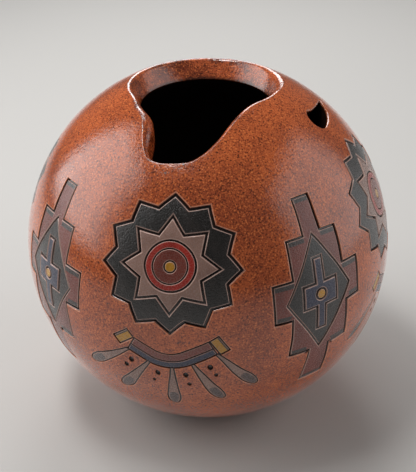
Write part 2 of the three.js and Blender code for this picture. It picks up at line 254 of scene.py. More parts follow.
@dataclass(frozen=True)
class PotForm:
    """Ball with a flat base and an even wall.

    Attributes:
        radius: Radius of the outer skin.
        wall: Thickness of the wall.
        floor: Thickness of the floor over the base.
        base_radius: Radius of the flat base.
    """

    radius: float = 70.0
    wall: float = 8.5
    floor: float = 9.0
    base_radius: float = 25.0

    @property
    def centre_height(self) -> float:
        """Height of the ball's centre over the base."""
        return math.sqrt(self.radius**2 - self.base_radius**2)

    @property
    def centre(self) -> Vector:
        """Ball's centre in metres."""
        return Vector((0.0, 0.0, self.centre_height * MM))

    def plane_angle(self, offset: float) -> float:
        """Angle at the centre of an offset on a plane that touches the skin."""
        return math.degrees(math.atan(offset / self.radius))

    def skin_angle(self, length: float) -> float:
        """Angle at the centre of a length along the skin."""
        return math.degrees(length / self.radius)


POT = PotForm()


@dataclass(frozen=True)
class Place:
    """Plane that touches the pot, on which a motif is drawn.

    Attributes:
        azimuth: Angle from the front towards +X.
        latitude: Angle above the pot's middle.
        wander: How far hand-drawn lines stray from their outlines.
    """

    azimuth: float
    latitude: float
    wander: float = 0.0

    def axes(self) -> Matrix:
        """Columns that point right, up and out of the pot."""
        turn = Matrix.Rotation(math.radians(self.azimuth), 3, "Z")
        return turn @ Matrix.Rotation(math.radians(90 - self.latitude), 3, "X")

    def strayed(self, spot: Vector) -> Vector:
        """Point of the plane after the hand has strayed.

        Args:
            spot: Point of the plane.

        Returns:
            The strayed point.
        """
        stretch = 9.0
        where = Vector((spot.x / stretch, spot.y / stretch, math.radians(self.azimuth) + self.latitude))
        return spot.to_2d() + noise.noise_vector(where).to_2d() * self.wander

    def onto_pot(self, spot: Vector) -> Vector:
        """Point of the plane, with its height over the skin, carried straight towards the pot's centre.

        Args:
            spot: Across, up and height.

        Returns:
            The point on the pot in metres.
        """
        drawn = self.strayed(spot)
        way = self.axes() @ Vector((drawn.x, drawn.y, POT.radius)).normalized()
        return POT.centre + way * ((POT.radius + spot.z) * MM)

    def leaning(self, spot: Vector, outward: Vector, lean: float) -> Vector:
        """Surface direction at a point, leaning out from the pot's own.

        Args:
            spot: Point of the plane.
            outward: Way of the lean on the plane.
            lean: Angle of the lean.

        Returns:
            The unit direction.
        """
        way = Vector((spot.x, spot.y, POT.radius)).normalized()
        aside = outward - way * outward.dot(way)
        if aside.length > 0:
            aside.normalize()
        angle = math.radians(lean)
        return self.axes() @ (way * math.cos(angle) + aside * math.sin(angle))


# Slabs drawn on the flat and bent on to the pot


@dataclass(frozen=True)
class Ring:
    """Ring of a slab's edge.

    Attributes:
        spread: How far it lies outside the outline.
        height: Height over the skin.
        lean: Angle between the surface and the skin there.
        shift: How far each point of the outline is moved on the plane, or None.
        swell: How many times larger the spread and the height are at each point, or None.
    """

    spread: float
    height: float
    lean: float = 90.0
    shift: Optional[Shift] = None
    swell: Optional[Measure] = None


class Slab:
    """Solid whose top follows the pot's skin, with an edge shaped by rings."""

    # Points nearer to a cut than the slit count as on it, a sharp corner reaches no further than the longest
    # mitre, and the underside leans right over
    SLIT = 1e-3
    LONGEST_MITRE = 2.2
    UNDERSIDE = 180.0

    def __init__(self, outline: Outline, hole: Optional[Outline], cell: float) -> None:
        """Fills the outline on the flat and cuts it into cells.

        Args:
            outline: Closed outline.
            hole: Closed outline of the hole in it, or None.
            cell: Size of the cells that let it follow the pot.
        """
        self.mesh = bmesh.new()
        edges = []
        for loop in [outline] if hole is None else [outline, hole]:
            corners = [self.mesh.verts.new((spot.x, spot.y, 0.0)) for spot in loop]
            edges += [self.mesh.edges.new(pair) for pair in zip(corners, corners[1:] + corners[:1])]
        bmesh.ops.triangle_fill(self.mesh, edges=edges, use_beauty=True, normal=(0.0, 0.0, 1.0))
        for axis in range(2):
            low = min(spot[axis] for spot in outline)
            high = max(spot[axis] for spot in outline)
            count = math.ceil((high - low) / cell)
            way = Vector((0.0, 0.0, 0.0))
            way[axis] = 1.0
            for step in range(1, count):
                self.cut(way * (low + (high - low) * step / count), way)

    def cut(self, spot: Vector, way: Vector) -> None:
        """Cuts the faces along a line through a spot, square to a way."""
        everything = [*self.mesh.verts, *self.mesh.edges, *self.mesh.faces]
        bmesh.ops.bisect_plane(self.mesh, geom=everything, dist=self.SLIT, plane_co=spot, plane_no=way)

    def paint(self, wash: Measure) -> None:
        """Stores how far inside the second coat each point lies.

        Args:
            wash: How far inside the second coat a point lies.
        """
        layer = self.mesh.verts.layers.float.new(WASH)
        for vert in self.mesh.verts:
            vert[layer] = wash(vert.co)

    def place(self, turn: float, spot: Vector) -> None:
        """Turns the slab on the flat and moves it."""
        matrix = Matrix.Translation(spot.to_3d()) @ Matrix.Rotation(math.radians(turn), 4, "Z")
        bmesh.ops.transform(self.mesh, matrix=matrix, verts=self.mesh.verts)

    def raise_through(self, rings: Sequence[Ring], place: Place) -> list[Vector]:
        """Raises the flat shape through rings and bends it on to the pot.

        The lean of each point stays on the mesh, where the slip's finish reads it.

        Args:
            rings: Rings of the edge, from the foot to the top.
            place: Where the slab lies on the pot.

        Returns:
            The surface direction at each point.
        """
        layers = self.mesh.verts.layers
        outward = layers.float_vector.new("outward")
        drawn = layers.float_vector.new("drawn")
        lean = layers.float.new(LEAN)
        for vert in self.mesh.verts:
            vert[drawn] = vert.co
        self._mark_edges(outward)
        region = [*self.mesh.verts, *self.mesh.edges, *self.mesh.faces]
        for index, ring in enumerate(rings):
            if index:
                region = bmesh.ops.extrude_face_region(self.mesh, geom=region)["geom"]
            inner_lean = 0.0 if index else self.UNDERSIDE
            for vert in (item for item in region if isinstance(item, bmesh.types.BMVert)):
                times = ring.swell(vert[drawn]) if ring.swell else 1.0
                vert.co = vert[drawn] + vert[outward] * (ring.spread * times)
                if ring.shift:
                    vert.co += ring.shift(vert[drawn]).to_3d()
                vert.co.z = ring.height * times
                vert[lean] = ring.lean if vert[outward].length else inner_lean
        bmesh.ops.recalc_face_normals(self.mesh, faces=self.mesh.faces)
        directions = [place.leaning(vert.co, vert[outward], vert[lean]) for vert in self.mesh.verts]
        for vert in self.mesh.verts:
            vert.co = place.onto_pot(vert.co)
        for layer in (layers.float_vector["outward"], layers.float_vector["drawn"]):
            layers.float_vector.remove(layer)
        return directions

    def move_into(self, whole: bmesh.types.BMesh) -> None:
        """Moves the slab's faces into another mesh.

        Args:
            whole: Mesh that takes them.
        """
        part = bpy.data.meshes.new("slab")
        self.mesh.to_mesh(part)
        self.mesh.free()
        whole.from_mesh(part)
        bpy.data.meshes.remove(part)

    def _mark_edges(self, outward: bmesh.types.BMLayerItem) -> None:
        """Stores the way out at each point of the outline, as long as keeps both its sides parallel.

        Args:
            outward: Layer that takes it.
        """
        ways: dict[bmesh.types.BMVert, list[Vector]] = {}
        self.mesh.normal_update()
        for face in self.mesh.faces:
            if face.normal.z < 0:
                face.normal_flip()
        for edge in self.mesh.edges:
            if edge.is_boundary:
                loop = edge.link_loops[0]
                run = loop.link_loop_next.vert.co - loop.vert.co
                way = Vector((run.y, -run.x, 0.0)).normalized()
                for vert in edge.verts:
                    ways.setdefault(vert, []).append(way)
        for vert, found in ways.items():
            total = sum(found, Vector((0.0, 0.0, 0.0)))
            mitre = total * (len(found) / total.length_squared)
            vert[outward] = mitre * min(1.0, self.LONGEST_MITRE / mitre.length)


@dataclass(frozen=True)
class Laying:
    """How a field of slip lies in its pocket, with sloped edges that catch the light.

    The slip's brow and slope together have to end above the pocket's floor.

    Attributes:
        groove: Width of the carved groove round the field.
        depth: Depth of the slip's top under the skin.
        floor: Depth of the pocket's floor under the skin.
        slip_round: Radius of the slip's rounded brow.
        slip_fall: Height of the slip's slope under the brow.
        cell: Size of the cells that let it follow the pot.
    """

    groove: float = 0.6
    depth: float = 0.25
    floor: float = 0.9
    slip_round: float = 0.4
    slip_fall: float = 0.42
    cell: float = 2.5

    # The slip's foot clears the floor by the seat. A pocket's wall steepens from its lip to its foot, and
    # the lip takes a share of its depth.
    SEAT = 0.02
    LIP_LEAN = 22.0
    BROW_LEAN = 50.0
    FOOT_LEAN = 72.0
    LIP_SHARE = 0.13

    @property
    def run(self) -> float:
        """Distance across the slip's brow and slope."""
        return self.slip_round * math.sin(math.radians(self.BROW_LEAN)) + self.across(self.slip_fall)

    @property
    def margin(self) -> float:
        """Distance from the middle of the groove to the level top of the slip."""
        return self.groove / 2 + self.run

    def across(self, height: float) -> float:
        """Distance across a slope of a height."""
        return height / math.tan(math.radians((self.BROW_LEAN + self.FOOT_LEAN) / 2))

    def slip_rings(self) -> list[Ring]:
        """Shapes the edge of the field.

        Returns:
            The rings from its foot to its level top.
        """
        brow = math.radians(self.BROW_LEAN)
        shoulder = -self.depth - self.slip_round * (1 - math.cos(brow))
        return [
            Ring(self.run, self.SEAT - self.floor),
            Ring(self.run, shoulder - self.slip_fall, self.FOOT_LEAN),
            Ring(self.slip_round * math.sin(brow), shoulder, self.BROW_LEAN),
            Ring(self.slip_round * math.sin(brow / 2), -self.depth, self.BROW_LEAN / 2),
            Ring(0.0, -self.depth, 0.0),
        ]

    def pocket_rings(self) -> list[Ring]:
        """Shapes the edge of the cut that makes the pocket.

        Returns:
            The rings from its floor to above its sloped wall.
        """
        spread = self.groove / 2
        heights = [-self.floor, -self.floor / 2, -self.LIP_SHARE * self.floor, self.LIP_SHARE * self.floor]
        rings = [Ring(spread, heights[0])]
        for lean, low, high in zip((self.FOOT_LEAN, self.BROW_LEAN, self.LIP_LEAN), heights, heights[1:]):
            spread += (high - low) / math.tan(math.radians(lean))
            rings.append(Ring(spread, high))
        return rings


# The common laying, then those of the diamonds' steps and field, small round fields, fans and feathers
CARVED = Laying()
NECKED = Laying(groove=0.25, slip_fall=0.3)
SUNK = Laying(depth=0.5, slip_fall=0.2)
FINE = Laying(groove=0.3, slip_round=0.2, slip_fall=0.3)
LINED = Laying(groove=0.3, depth=0.15, floor=0.6, slip_round=0.2, slip_fall=0.25)
PAINTED = Laying(groove=0.44, depth=0.08, floor=0.45, slip_round=0.08, slip_fall=0.16, cell=1.0)

Pocket = tuple[Outline, Laying]
Cut = tuple[Outline, Sequence[Ring], float, Place]


def through_rings(
    outer_round: float, inner_round: float, slant: Optional[Shift] = None, swell: Optional[Measure] = None
) -> list[Ring]:
    """Rings of a cut right through the wall, which rounds both its rims.

    Args:
        outer_round: Radius of the rim at the skin.
        inner_round: Radius of the rim at the hollow.
        slant: How far the inner rim is moved on the plane, or None.
        swell: How many times larger the outer rim's radius is at a point, or None.

    Returns:
        The rings from below the wall to above it.
    """
    steps = 6
    furthest = 78.0
    run_out = 1.5
    angles = [math.radians(furthest * step / steps) for step in range(steps + 1)]
    across = run_out * math.sin(angles[-1])
    onwards = run_out * math.cos(angles[-1])
    inner = []
    outer = []
    for angle in angles:
        aside = 1 - math.cos(angle)
        down = 1 - math.sin(angle)
        inner.insert(0, Ring(inner_round * aside, inner_round * down - POT.wall, shift=slant))
        outer.append(Ring(outer_round * aside, -outer_round * down, swell=swell))
    low, high = inner[0], outer[-1]
    below = Ring(low.spread + inner_round * across, low.height - inner_round * onwards, shift=slant)
    above = Ring(high.spread + outer_round * across, high.height + outer_round * onwards, swell=swell)
    return [below, *inner, *outer, above]


# Finishes


def linear(colour: str) -> tuple[float, float, float, float]:
    """Turns an sRGB hex value to a linear colour.

    Args:
        colour: Hex value with its leading sign.

    Returns:
        Red, green, blue and opacity.
    """
    shares = [int(colour[i : i + 2], 16) / 255 for i in (1, 3, 5)]
    bright = [s / 12.92 if s <= 0.04045 else ((s + 0.055) / 1.055) ** 2.4 for s in shares]
    return (*bright, 1.0)


def per_metre(size: float) -> float:
    """Pattern scale for features of a size in millimetres."""
    return 1 / (size * MM)


def feed(node: bpy.types.Node, inputs: Inputs) -> None:
    """Links or sets a node's inputs.

    Args:
        node: Node that takes them.
        inputs: Sockets to link from, or values to set, by input.
    """
    for key, value in inputs.items():
        if isinstance(value, bpy.types.NodeSocket):
            node.id_data.links.new(value, node.inputs[key])
        else:
            node.inputs[key].default_value = value


def add(tree: bpy.types.NodeTree, kind: str, inputs: Inputs, **settings: object) -> bpy.types.Node:
    """Adds a node to a tree.

    Args:
        tree: Tree that takes the node.
        kind: Type of the node.
        inputs: Sockets to link from, or values to set, by input.
        settings: Properties of the node.

    Returns:
        The node.
    """
    node = tree.nodes.new(kind)
    for name, value in settings.items():
        setattr(node, name, value)
    feed(node, inputs)
    return node


def product(tree: bpy.types.NodeTree, ranges: Sequence[Inputs]) -> bpy.types.NodeSocket:
    """Multiplies patterns, each eased over a range.

    Args:
        tree: Tree that takes the nodes.
        ranges: Range of each pattern.

    Returns:
        The socket of the product.
    """
    shares = [
        add(tree, "ShaderNodeMapRange", inputs, interpolation_type="SMOOTHSTEP").outputs["Result"]
        for inputs in ranges
    ]
    total = shares[0]
    for share in shares[1:]:
        total = add(tree, "ShaderNodeMath", {0: total, 1: share}, operation="MULTIPLY").outputs[0]
    return total


@dataclass(frozen=True)
class Coat:
    """Colour that covers what is under it, as far as a pattern says.

    Attributes:
        colour: Colour of the coat.
        bare: Value of the pattern at which there is none of it.
        full: Value of the pattern at which it is fullest.
        share: How much it covers where it is fullest.
    """

    colour: str
    bare: float
    full: float
    share: float = 1.0

    def over(
        self, tree: bpy.types.NodeTree, pattern: bpy.types.NodeSocket, under: object
    ) -> bpy.types.NodeSocket:
        """Lays the coat.

        Args:
            tree: Tree that takes the nodes.
            pattern: Pattern that the coat follows.
            under: What is under it, as a socket or a linear colour.

        Returns:
            The socket of the covered colour.
        """
        reach = {"Value": pattern, "From Min": self.bare, "From Max": self.full, "To Max": self.share}
        cover = add(tree, "ShaderNodeMapRange", reach, interpolation_type="SMOOTHSTEP").outputs["Result"]
        layers = {0: cover, 6: under, 7: linear(self.colour)}
        return add(tree, "ShaderNodeMix", layers, data_type="RGBA").outputs[2]


@dataclass(frozen=True)
class Clay:
    """Hand-burnished, wood-brown earthenware.

    The stone that rubs it leaves a satin skin over gritty clay, so grains break its gloss and dark specks
    of sand its colour.

    Attributes:
        name: Name of the material.
        light: Colour of the paler clouds.
        dark: Colour of the deeper clouds.
        pale_grain: Colour of the palest grains.
        dark_grain: Colour of the darkest grains.
        roughness: Mean roughness.
        grit_height: Height of the grit's relief.
        swell_height: Height of the unevenness that the burnishing leaves.
        cloud: Size of the clouds.
        sunk_shade: Colour of the painted shade that darkens grooves, cut walls and holes with depth.
        sunk_shade_from: Depth under the skin at which that painted shade begins.
        sunk_shade_to: Depth at which it is full.
        lip: Colour of the painted highlight along the edge next to the skin, or None.
    """

    name: str
    light: str
    dark: str
    pale_grain: str = "#ce733c"
    dark_grain: str = "#3f1a0d"
    roughness: float = 0.13
    grit_height: float = 0.06
    swell_height: float = 0.16
    cloud: float = 22.0
    sunk_shade: str = "#1c0e08"
    sunk_shade_from: float = 6.4
    sunk_shade_to: float = 8.8
    lip: Optional[str] = None

    # Size of each random pattern and how many finer ones it carries. Real grit is finer than this, and is
    # drawn just coarse enough to show.
    MOTTLE = (2.8, 4.0)
    GRAIN = (0.6, 2.0)
    GRIT = (0.7, 2.0)
    SWELL = (9.0, 3.0)
    CLOUD_DETAIL = 3.0

    # Spacing of the specks, depth of the painted highlight along the lip, and how much each of them covers
    SPECK = 1.35
    SPECK_SHARE = 0.62
    LIP_DEPTH = 0.3
    LIP_SHARE = 0.6

    # How far the roughness strays down and up
    SMOOTHER = 0.05
    ROUGHER = 0.1
    IOR = 1.57

    def build(self) -> bpy.types.Material:
        """Makes the material.

        Returns:
            The material, whose patterns lie in the pot's own coordinates.
        """
        material = bpy.data.materials.new(self.name)
        material.use_nodes = True
        tree = material.node_tree
        spot = add(tree, "ShaderNodeTexCoord", {}).outputs["Object"]
        patterns = []
        clouds = (self.cloud, self.CLOUD_DETAIL)
        for size, detail in (clouds, self.MOTTLE, self.GRAIN, self.GRIT, self.SWELL):
            inputs = {"Vector": spot, "Scale": per_metre(size), "Detail": detail, "Roughness": FRAY}
            patterns.append(add(tree, "ShaderNodeTexNoise", inputs).outputs["Fac"])
        cloud, mottle, grain, grit, swell = patterns
        colour = Coat(self.light, bare=0.35, full=0.65).over(tree, cloud, linear(self.dark))
        colour = Coat(self.dark, bare=0.45, full=0.75, share=0.6).over(tree, mottle, colour)
        colour = Coat(self.pale_grain, bare=0.47, full=0.29, share=0.9).over(tree, grain, colour)
        colour = Coat(self.dark_grain, bare=0.51, full=0.7).over(tree, grain, colour)
        sandy = {0: self.sand(tree, spot), 6: colour, 7: linear(self.dark_grain)}
        colour = add(tree, "ShaderNodeMix", sandy, data_type="RGBA").outputs[2]
        ends = {0: spot, 1: POT.centre}
        reach = add(tree, "ShaderNodeVectorMath", ends, operation="DISTANCE").outputs["Value"]
        depth = add(tree, "ShaderNodeMath", {0: POT.radius * MM, 1: reach}, operation="SUBTRACT").outputs[0]
        # Painted highlight: a pale band along the edge where a cut meets the skin, fading out with depth
        if self.lip:
            painted_highlight = Coat(self.lip, bare=self.LIP_DEPTH * MM, full=0.0, share=self.LIP_SHARE)
            colour = painted_highlight.over(tree, depth, colour)
        # Painted shade: the colour darkens with depth under the skin, in grooves, cut walls and holes
        shadow = Coat(self.sunk_shade, bare=self.sunk_shade_from * MM, full=self.sunk_shade_to * MM)
        colour = shadow.over(tree, depth, colour)
        gloss = {
            "Value": grit,
            "From Min": 0.3,
            "From Max": 0.7,
            "To Min": self.roughness - self.SMOOTHER,
            "To Max": self.roughness + self.ROUGHER,
        }
        rough = add(tree, "ShaderNodeMapRange", gloss, interpolation_type="SMOOTHSTEP").outputs["Result"]
        waves = {"Height": swell, "Distance": self.swell_height * MM}
        uneven = add(tree, "ShaderNodeBump", waves).outputs["Normal"]
        grains = {"Height": grit, "Distance": self.grit_height * MM, "Normal": uneven}
        relief = add(tree, "ShaderNodeBump", grains).outputs["Normal"]
        surface = {"Base Color": colour, "Roughness": rough, "IOR": self.IOR, "Normal": relief}
        feed(tree.nodes["Principled BSDF"], surface)
        return material

    def sand(self, tree: bpy.types.NodeTree, spot: bpy.types.NodeSocket) -> bpy.types.NodeSocket:
        """Round specks of sand in some of the cells of a random mesh.

        Args:
            tree: Tree that takes the nodes.
            spot: Point on the pot.

        Returns:
            The socket of how much of a speck each point shows.
        """
        cells = add(tree, "ShaderNodeTexVoronoi", {"Vector": spot, "Scale": per_metre(self.SPECK)}).outputs
        lot = add(tree, "ShaderNodeSeparateColor", {0: cells["Color"]}).outputs[0]
        held = {"Value": lot, "From Min": 0.45, "From Max": 0.65, "To Max": self.SPECK_SHARE}
        near = {"Value": cells["Distance"], "From Min": 0.35, "From Max": 0.15}
        return product(tree, [held, near])


@dataclass(frozen=True)
class SlipPaint:
    """Fired slip: fine coloured clay, brushed on in coats.

    It is satin, a little streaky and gritty with the clay under it. Its edges carry a painted highlight
    along the brow and painted shade at the foot.

    Attributes:
        slot: Slot of the record.
        colour: Colour of a full coat.
        thin: Colour where the coat is thin.
        wash: Colour of the second coat, where a field has one.
        roughness: Mean roughness.
    """

    slot: Slot
    colour: str
    thin: str
    wash: str = "#2e2b2a"
    roughness: float = 0.23

    # Size of each random pattern and how many finer ones it carries
    STREAK = (5.0, 4.0)
    GRIT = (0.55, 3.0)
    STREAK_STRETCH = 0.3
    GRIT_HEIGHT = 0.2

    # How far the roughness strays down and up
    SMOOTHER = 0.08
    ROUGHER = 0.14
    IOR = 1.55

    # Dirt in the grit, then by the edge's lean a painted highlight along the brow and painted shade at the
    # foot
    DIRT = Coat("#1d1310", bare=0.5, full=0.85, share=0.6)
    BROW_HIGHLIGHT = Coat("#c8a598", bare=0.0, full=Laying.BROW_LEAN / 2, share=0.7)
    FOOT_SHADE = Coat("#1d1310", bare=44.0, full=Laying.FOOT_LEAN)

    def build(self) -> bpy.types.Material:
        """Makes the material.

        Returns:
            The material, which reads the second coat and the lean of the edges from the field's own points.
        """
        material = bpy.data.materials.new(self.slot.value)
        material.use_nodes = True
        tree = material.node_tree
        spot = add(tree, "ShaderNodeTexCoord", {}).outputs["Object"]
        stretch = {"Vector": spot, "Scale": (1.0, 1.0, self.STREAK_STRETCH)}
        brushed = add(tree, "ShaderNodeMapping", stretch).outputs["Vector"]
        patterns = []
        for where, (size, detail) in ((brushed, self.STREAK), (spot, self.GRIT)):
            inputs = {"Vector": where, "Scale": per_metre(size), "Detail": detail, "Roughness": FRAY}
            patterns.append(add(tree, "ShaderNodeTexNoise", inputs).outputs["Fac"])
        streak, grit = patterns
        inside, lean = [
            add(tree, "ShaderNodeAttribute", {}, attribute_name=name).outputs["Fac"] for name in (WASH, LEAN)
        ]
        colour = Coat(self.thin, bare=0.4, full=0.7).over(tree, streak, linear(self.colour))
        covered = {"Value": inside, "From Min": 0.02, "From Max": 0.3}
        worn = {"Value": grit, "From Min": 0.2, "From Max": 0.6, "To Min": 0.75}
        second = {0: product(tree, [covered, worn]), 6: colour, 7: linear(self.wash)}
        colour = add(tree, "ShaderNodeMix", second, data_type="RGBA").outputs[2]
        # The pale brow is a painted highlight and the dark foot painted shade
        for coat, pattern in ((self.DIRT, grit), (self.BROW_HIGHLIGHT, lean), (self.FOOT_SHADE, lean)):
            colour = coat.over(tree, pattern, colour)
        gloss = {
            "Value": grit,
            "From Min": 0.2,
            "From Max": 0.8,
            "To Min": self.roughness - self.SMOOTHER,
            "To Max": self.roughness + self.ROUGHER,
        }
        rough = add(tree, "ShaderNodeMapRange", gloss, interpolation_type="SMOOTHSTEP").outputs["Result"]
        grains = {"Height": grit, "Distance": self.GRIT_HEIGHT * MM}
        relief = add(tree, "ShaderNodeBump", grains).outputs["Normal"]
        surface = {"Base Color": colour, "Roughness": rough, "IOR": self.IOR, "Normal": relief}
        feed(tree.nodes["Principled BSDF"], surface)
        return material


# Grooves, the cut wall and the tear darken with depth as painted shade, and the grooves' lips carry a painted
# highlight
SKIN = Clay("burnished_clay", light="#aa5229", dark="#8c4021")
GROOVE = Clay(
    "carved_clay",
    light="#aa5229",
    dark="#8c4021",
    sunk_shade="#1e0c06",
    sunk_shade_from=0.12,
    sunk_shade_to=0.42,
    lip="#d59a7c",
)
WALL = Clay("cut_clay", light="#a9502b", dark="#672a15", swell_height=0.4, cloud=7.0)
HOLE = Clay("bored_clay", light="#a9552b", dark="#7c391b", sunk_shade="#140a06", sunk_shade_from=0.15, sunk_shade_to=1.2)
# The hollow is painted near black, much darker than the outer clay, as painted shade inside the pot
INSIDE = Clay("inner_clay", light="#3a1d12", dark="#2b150c", roughness=0.6, swell_height=0.3)

SLIPS = {
    paint.slot: paint
    for paint in (
        SlipPaint(Slot.CHARCOAL, "#1a1715", "#272220"),
        SlipPaint(Slot.TAUPE, "#86695e", "#75594f", wash="#483c3b"),
        SlipPaint(Slot.RED, "#952a20", "#7d2219"),
        SlipPaint(Slot.MAUVE, "#6e352b", "#602c23", wash="#262321"),
        SlipPaint(Slot.SLATE, "#1d2039", "#26283e"),
        SlipPaint(Slot.OCHRE, "#ad7c20", "#9c6c1a", wash="#221a15"),
    )
}


class Palette:
    """Materials, each made once."""

    def __init__(self) -> None:
        """Makes the clay surfaces and the slips."""
        self.clay = [finish.build() for finish in (SKIN, GROOVE, WALL, HOLE, INSIDE)]
        self.slips = {slot: paint.build() for slot, paint in SLIPS.items()}


# Pieces


def mesh_of(name: str, shape: bmesh.types.BMesh, material: int = 0) -> bpy.types.Mesh:
    """Turns a finished shape to a mesh and lets the shape go.

    Args:
        name: Name of the mesh.
        shape: The shape.
        material: Place of its faces' material among the materials of the piece.

    Returns:
        The mesh.
    """
    for face in shape.faces:
        face.material_index = material
    mesh = bpy.data.meshes.new(name)
    shape.to_mesh(mesh)
    shape.free()
    return mesh


def new_object(name: str, data: bpy.types.ID) -> bpy.types.Object:
    """Makes an object and links it to the scene.

    Args:
        name: Name of the object.
        data: Its mesh, lamp or camera.

    Returns:
        The object.
    """
    made = bpy.data.objects.new(name, data)
    bpy.context.scene.collection.objects.link(made)
    return made


def dress(made: bpy.types.Object, node: str) -> None:
    """Puts a piece in the place of a solid of the frame.

    Args:
        made: The piece.
        node: Name of the solid.
    """
    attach(made, "root")
    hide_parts(node)
    LOG.info("%s stands for %s, %d faces", made.name, node, len(made.data.polygons))


@dataclass
class SlipField:
    """Field of one slip, bounded by grooves.

    Attributes:
        name: Name within its motif.
        slot: Slip that it is painted with.
        outline: Closed outline, at the middle of its groove.
        inset: Outline of the field that is set into it, or None.
        laying: How it lies in its pocket.
        marks: Lines that the second coat follows, as a point and the way across the line.
        wash: How far inside the second coat a point lies, or None.
    """

    name: str
    slot: Slot
    outline: Outline
    inset: Optional[Outline] = None
    laying: Laying = CARVED
    marks: Sequence[Mark] = ()
    wash: Optional[Measure] = None

    def slab(self) -> Slab:
        """Draws the field on the flat.

        Returns:
            The slab, cut along its marks and painted.
        """
        hole = grown(self.inset, self.laying.margin) if self.inset else None
        slab = Slab(grown(self.outline, -self.laying.margin), hole, self.laying.cell)
        for spot, way in self.marks:
            slab.cut(spot.to_3d(), way.to_3d())
        if self.wash:
            slab.paint(self.wash)
        return slab


def joined_slabs(name: str, slabs: Sequence[Slab], rings: Sequence[Ring], place: Place) -> bpy.types.Mesh:
    """Mesh of slabs raised at a place.

    Args:
        name: Name of the mesh.
        slabs: Slabs on the flat.
        rings: Rings of their edges.
        place: Where they lie on the pot.

    Returns:
        The mesh, smooth-shaded along the pot's form.
    """
    directions: list[Vector] = []
    whole = bmesh.new()
    for slab in slabs:
        directions += slab.raise_through(rings, place)
        slab.move_into(whole)
    mesh = mesh_of(name, whole)
    mesh.polygons.foreach_set("use_smooth", [True] * len(mesh.polygons))
    mesh.normals_split_custom_set_from_vertices(directions)
    return mesh


@dataclass
class SunMedallion:
    """Sun medallion on each side: dot, heart, ring, star and sun, from the middle out.

    Attributes:
        gap: Distance from the mouth's tongue along the skin.
        dot_radius: Radius of the dot.
        heart_width: Width of the heart round the dot.
        ring_width: Width of the ring round the heart.
        star_points: Number of the star's points.
        star_web: Width of the star inside its points.
        star_point: Length of the star's points.
        sun_rays: Number of the sun's rays.
        sun_web: Width of the sun inside its rays.
        sun_ray: Length of the sun's rays.
    """

    gap: float = 11.0
    dot_radius: float = 2.0
    heart_width: float = 4.0
    ring_width: float = 2.6
    star_points: int = 8
    star_web: float = 2.9
    star_point: float = 5.6
    sun_rays: int = 12
    sun_web: float = 3.4
    sun_ray: float = 4.4

    # Sides of the round fields
    DOT_SIDES = 24
    HEART_SIDES = 40
    RING_SIDES = 48

    @property
    def star_tip(self) -> float:
        """Radius of the star's tips."""
        rings = self.dot_radius + self.heart_width + self.ring_width
        return rings + self.star_web + self.star_point

    @property
    def reach(self) -> float:
        """Radius of the sun's tips."""
        return self.star_tip + self.sun_web + self.sun_ray

    def sun(self) -> Outline:
        """Outline of the whole medallion."""
        return star(self.sun_rays, self.star_tip + self.sun_web, self.reach)

    def fields(self) -> list[SlipField]:
        """Draws the fields of the medallion.

        Returns:
            The fields, from the outside in.
        """
        middle = flat(0.0, 0.0)
        heart_radius = self.dot_radius + self.heart_width
        ring_radius = heart_radius + self.ring_width
        dot = circle(middle, self.dot_radius, self.DOT_SIDES)
        heart = circle(middle, heart_radius, self.HEART_SIDES)
        ring = circle(middle, ring_radius, self.RING_SIDES)
        points = star(self.star_points, ring_radius + self.star_web, self.star_tip)
        return [
            SlipField("medallion_sun", Slot.CHARCOAL, self.sun(), points),
            SlipField("medallion_star", Slot.TAUPE, points, ring),
            SlipField("medallion_ring", Slot.RED, ring, heart, FINE),
            SlipField("medallion_heart", Slot.MAUVE, heart, dot, FINE),
            SlipField("medallion_dot", Slot.OCHRE, dot, laying=FINE),
        ]

    def pockets(self) -> list[list[Pocket]]:
        """Pockets that are cut into the skin, in layers within which they don't touch."""
        return [[(self.sun(), CARVED)]]


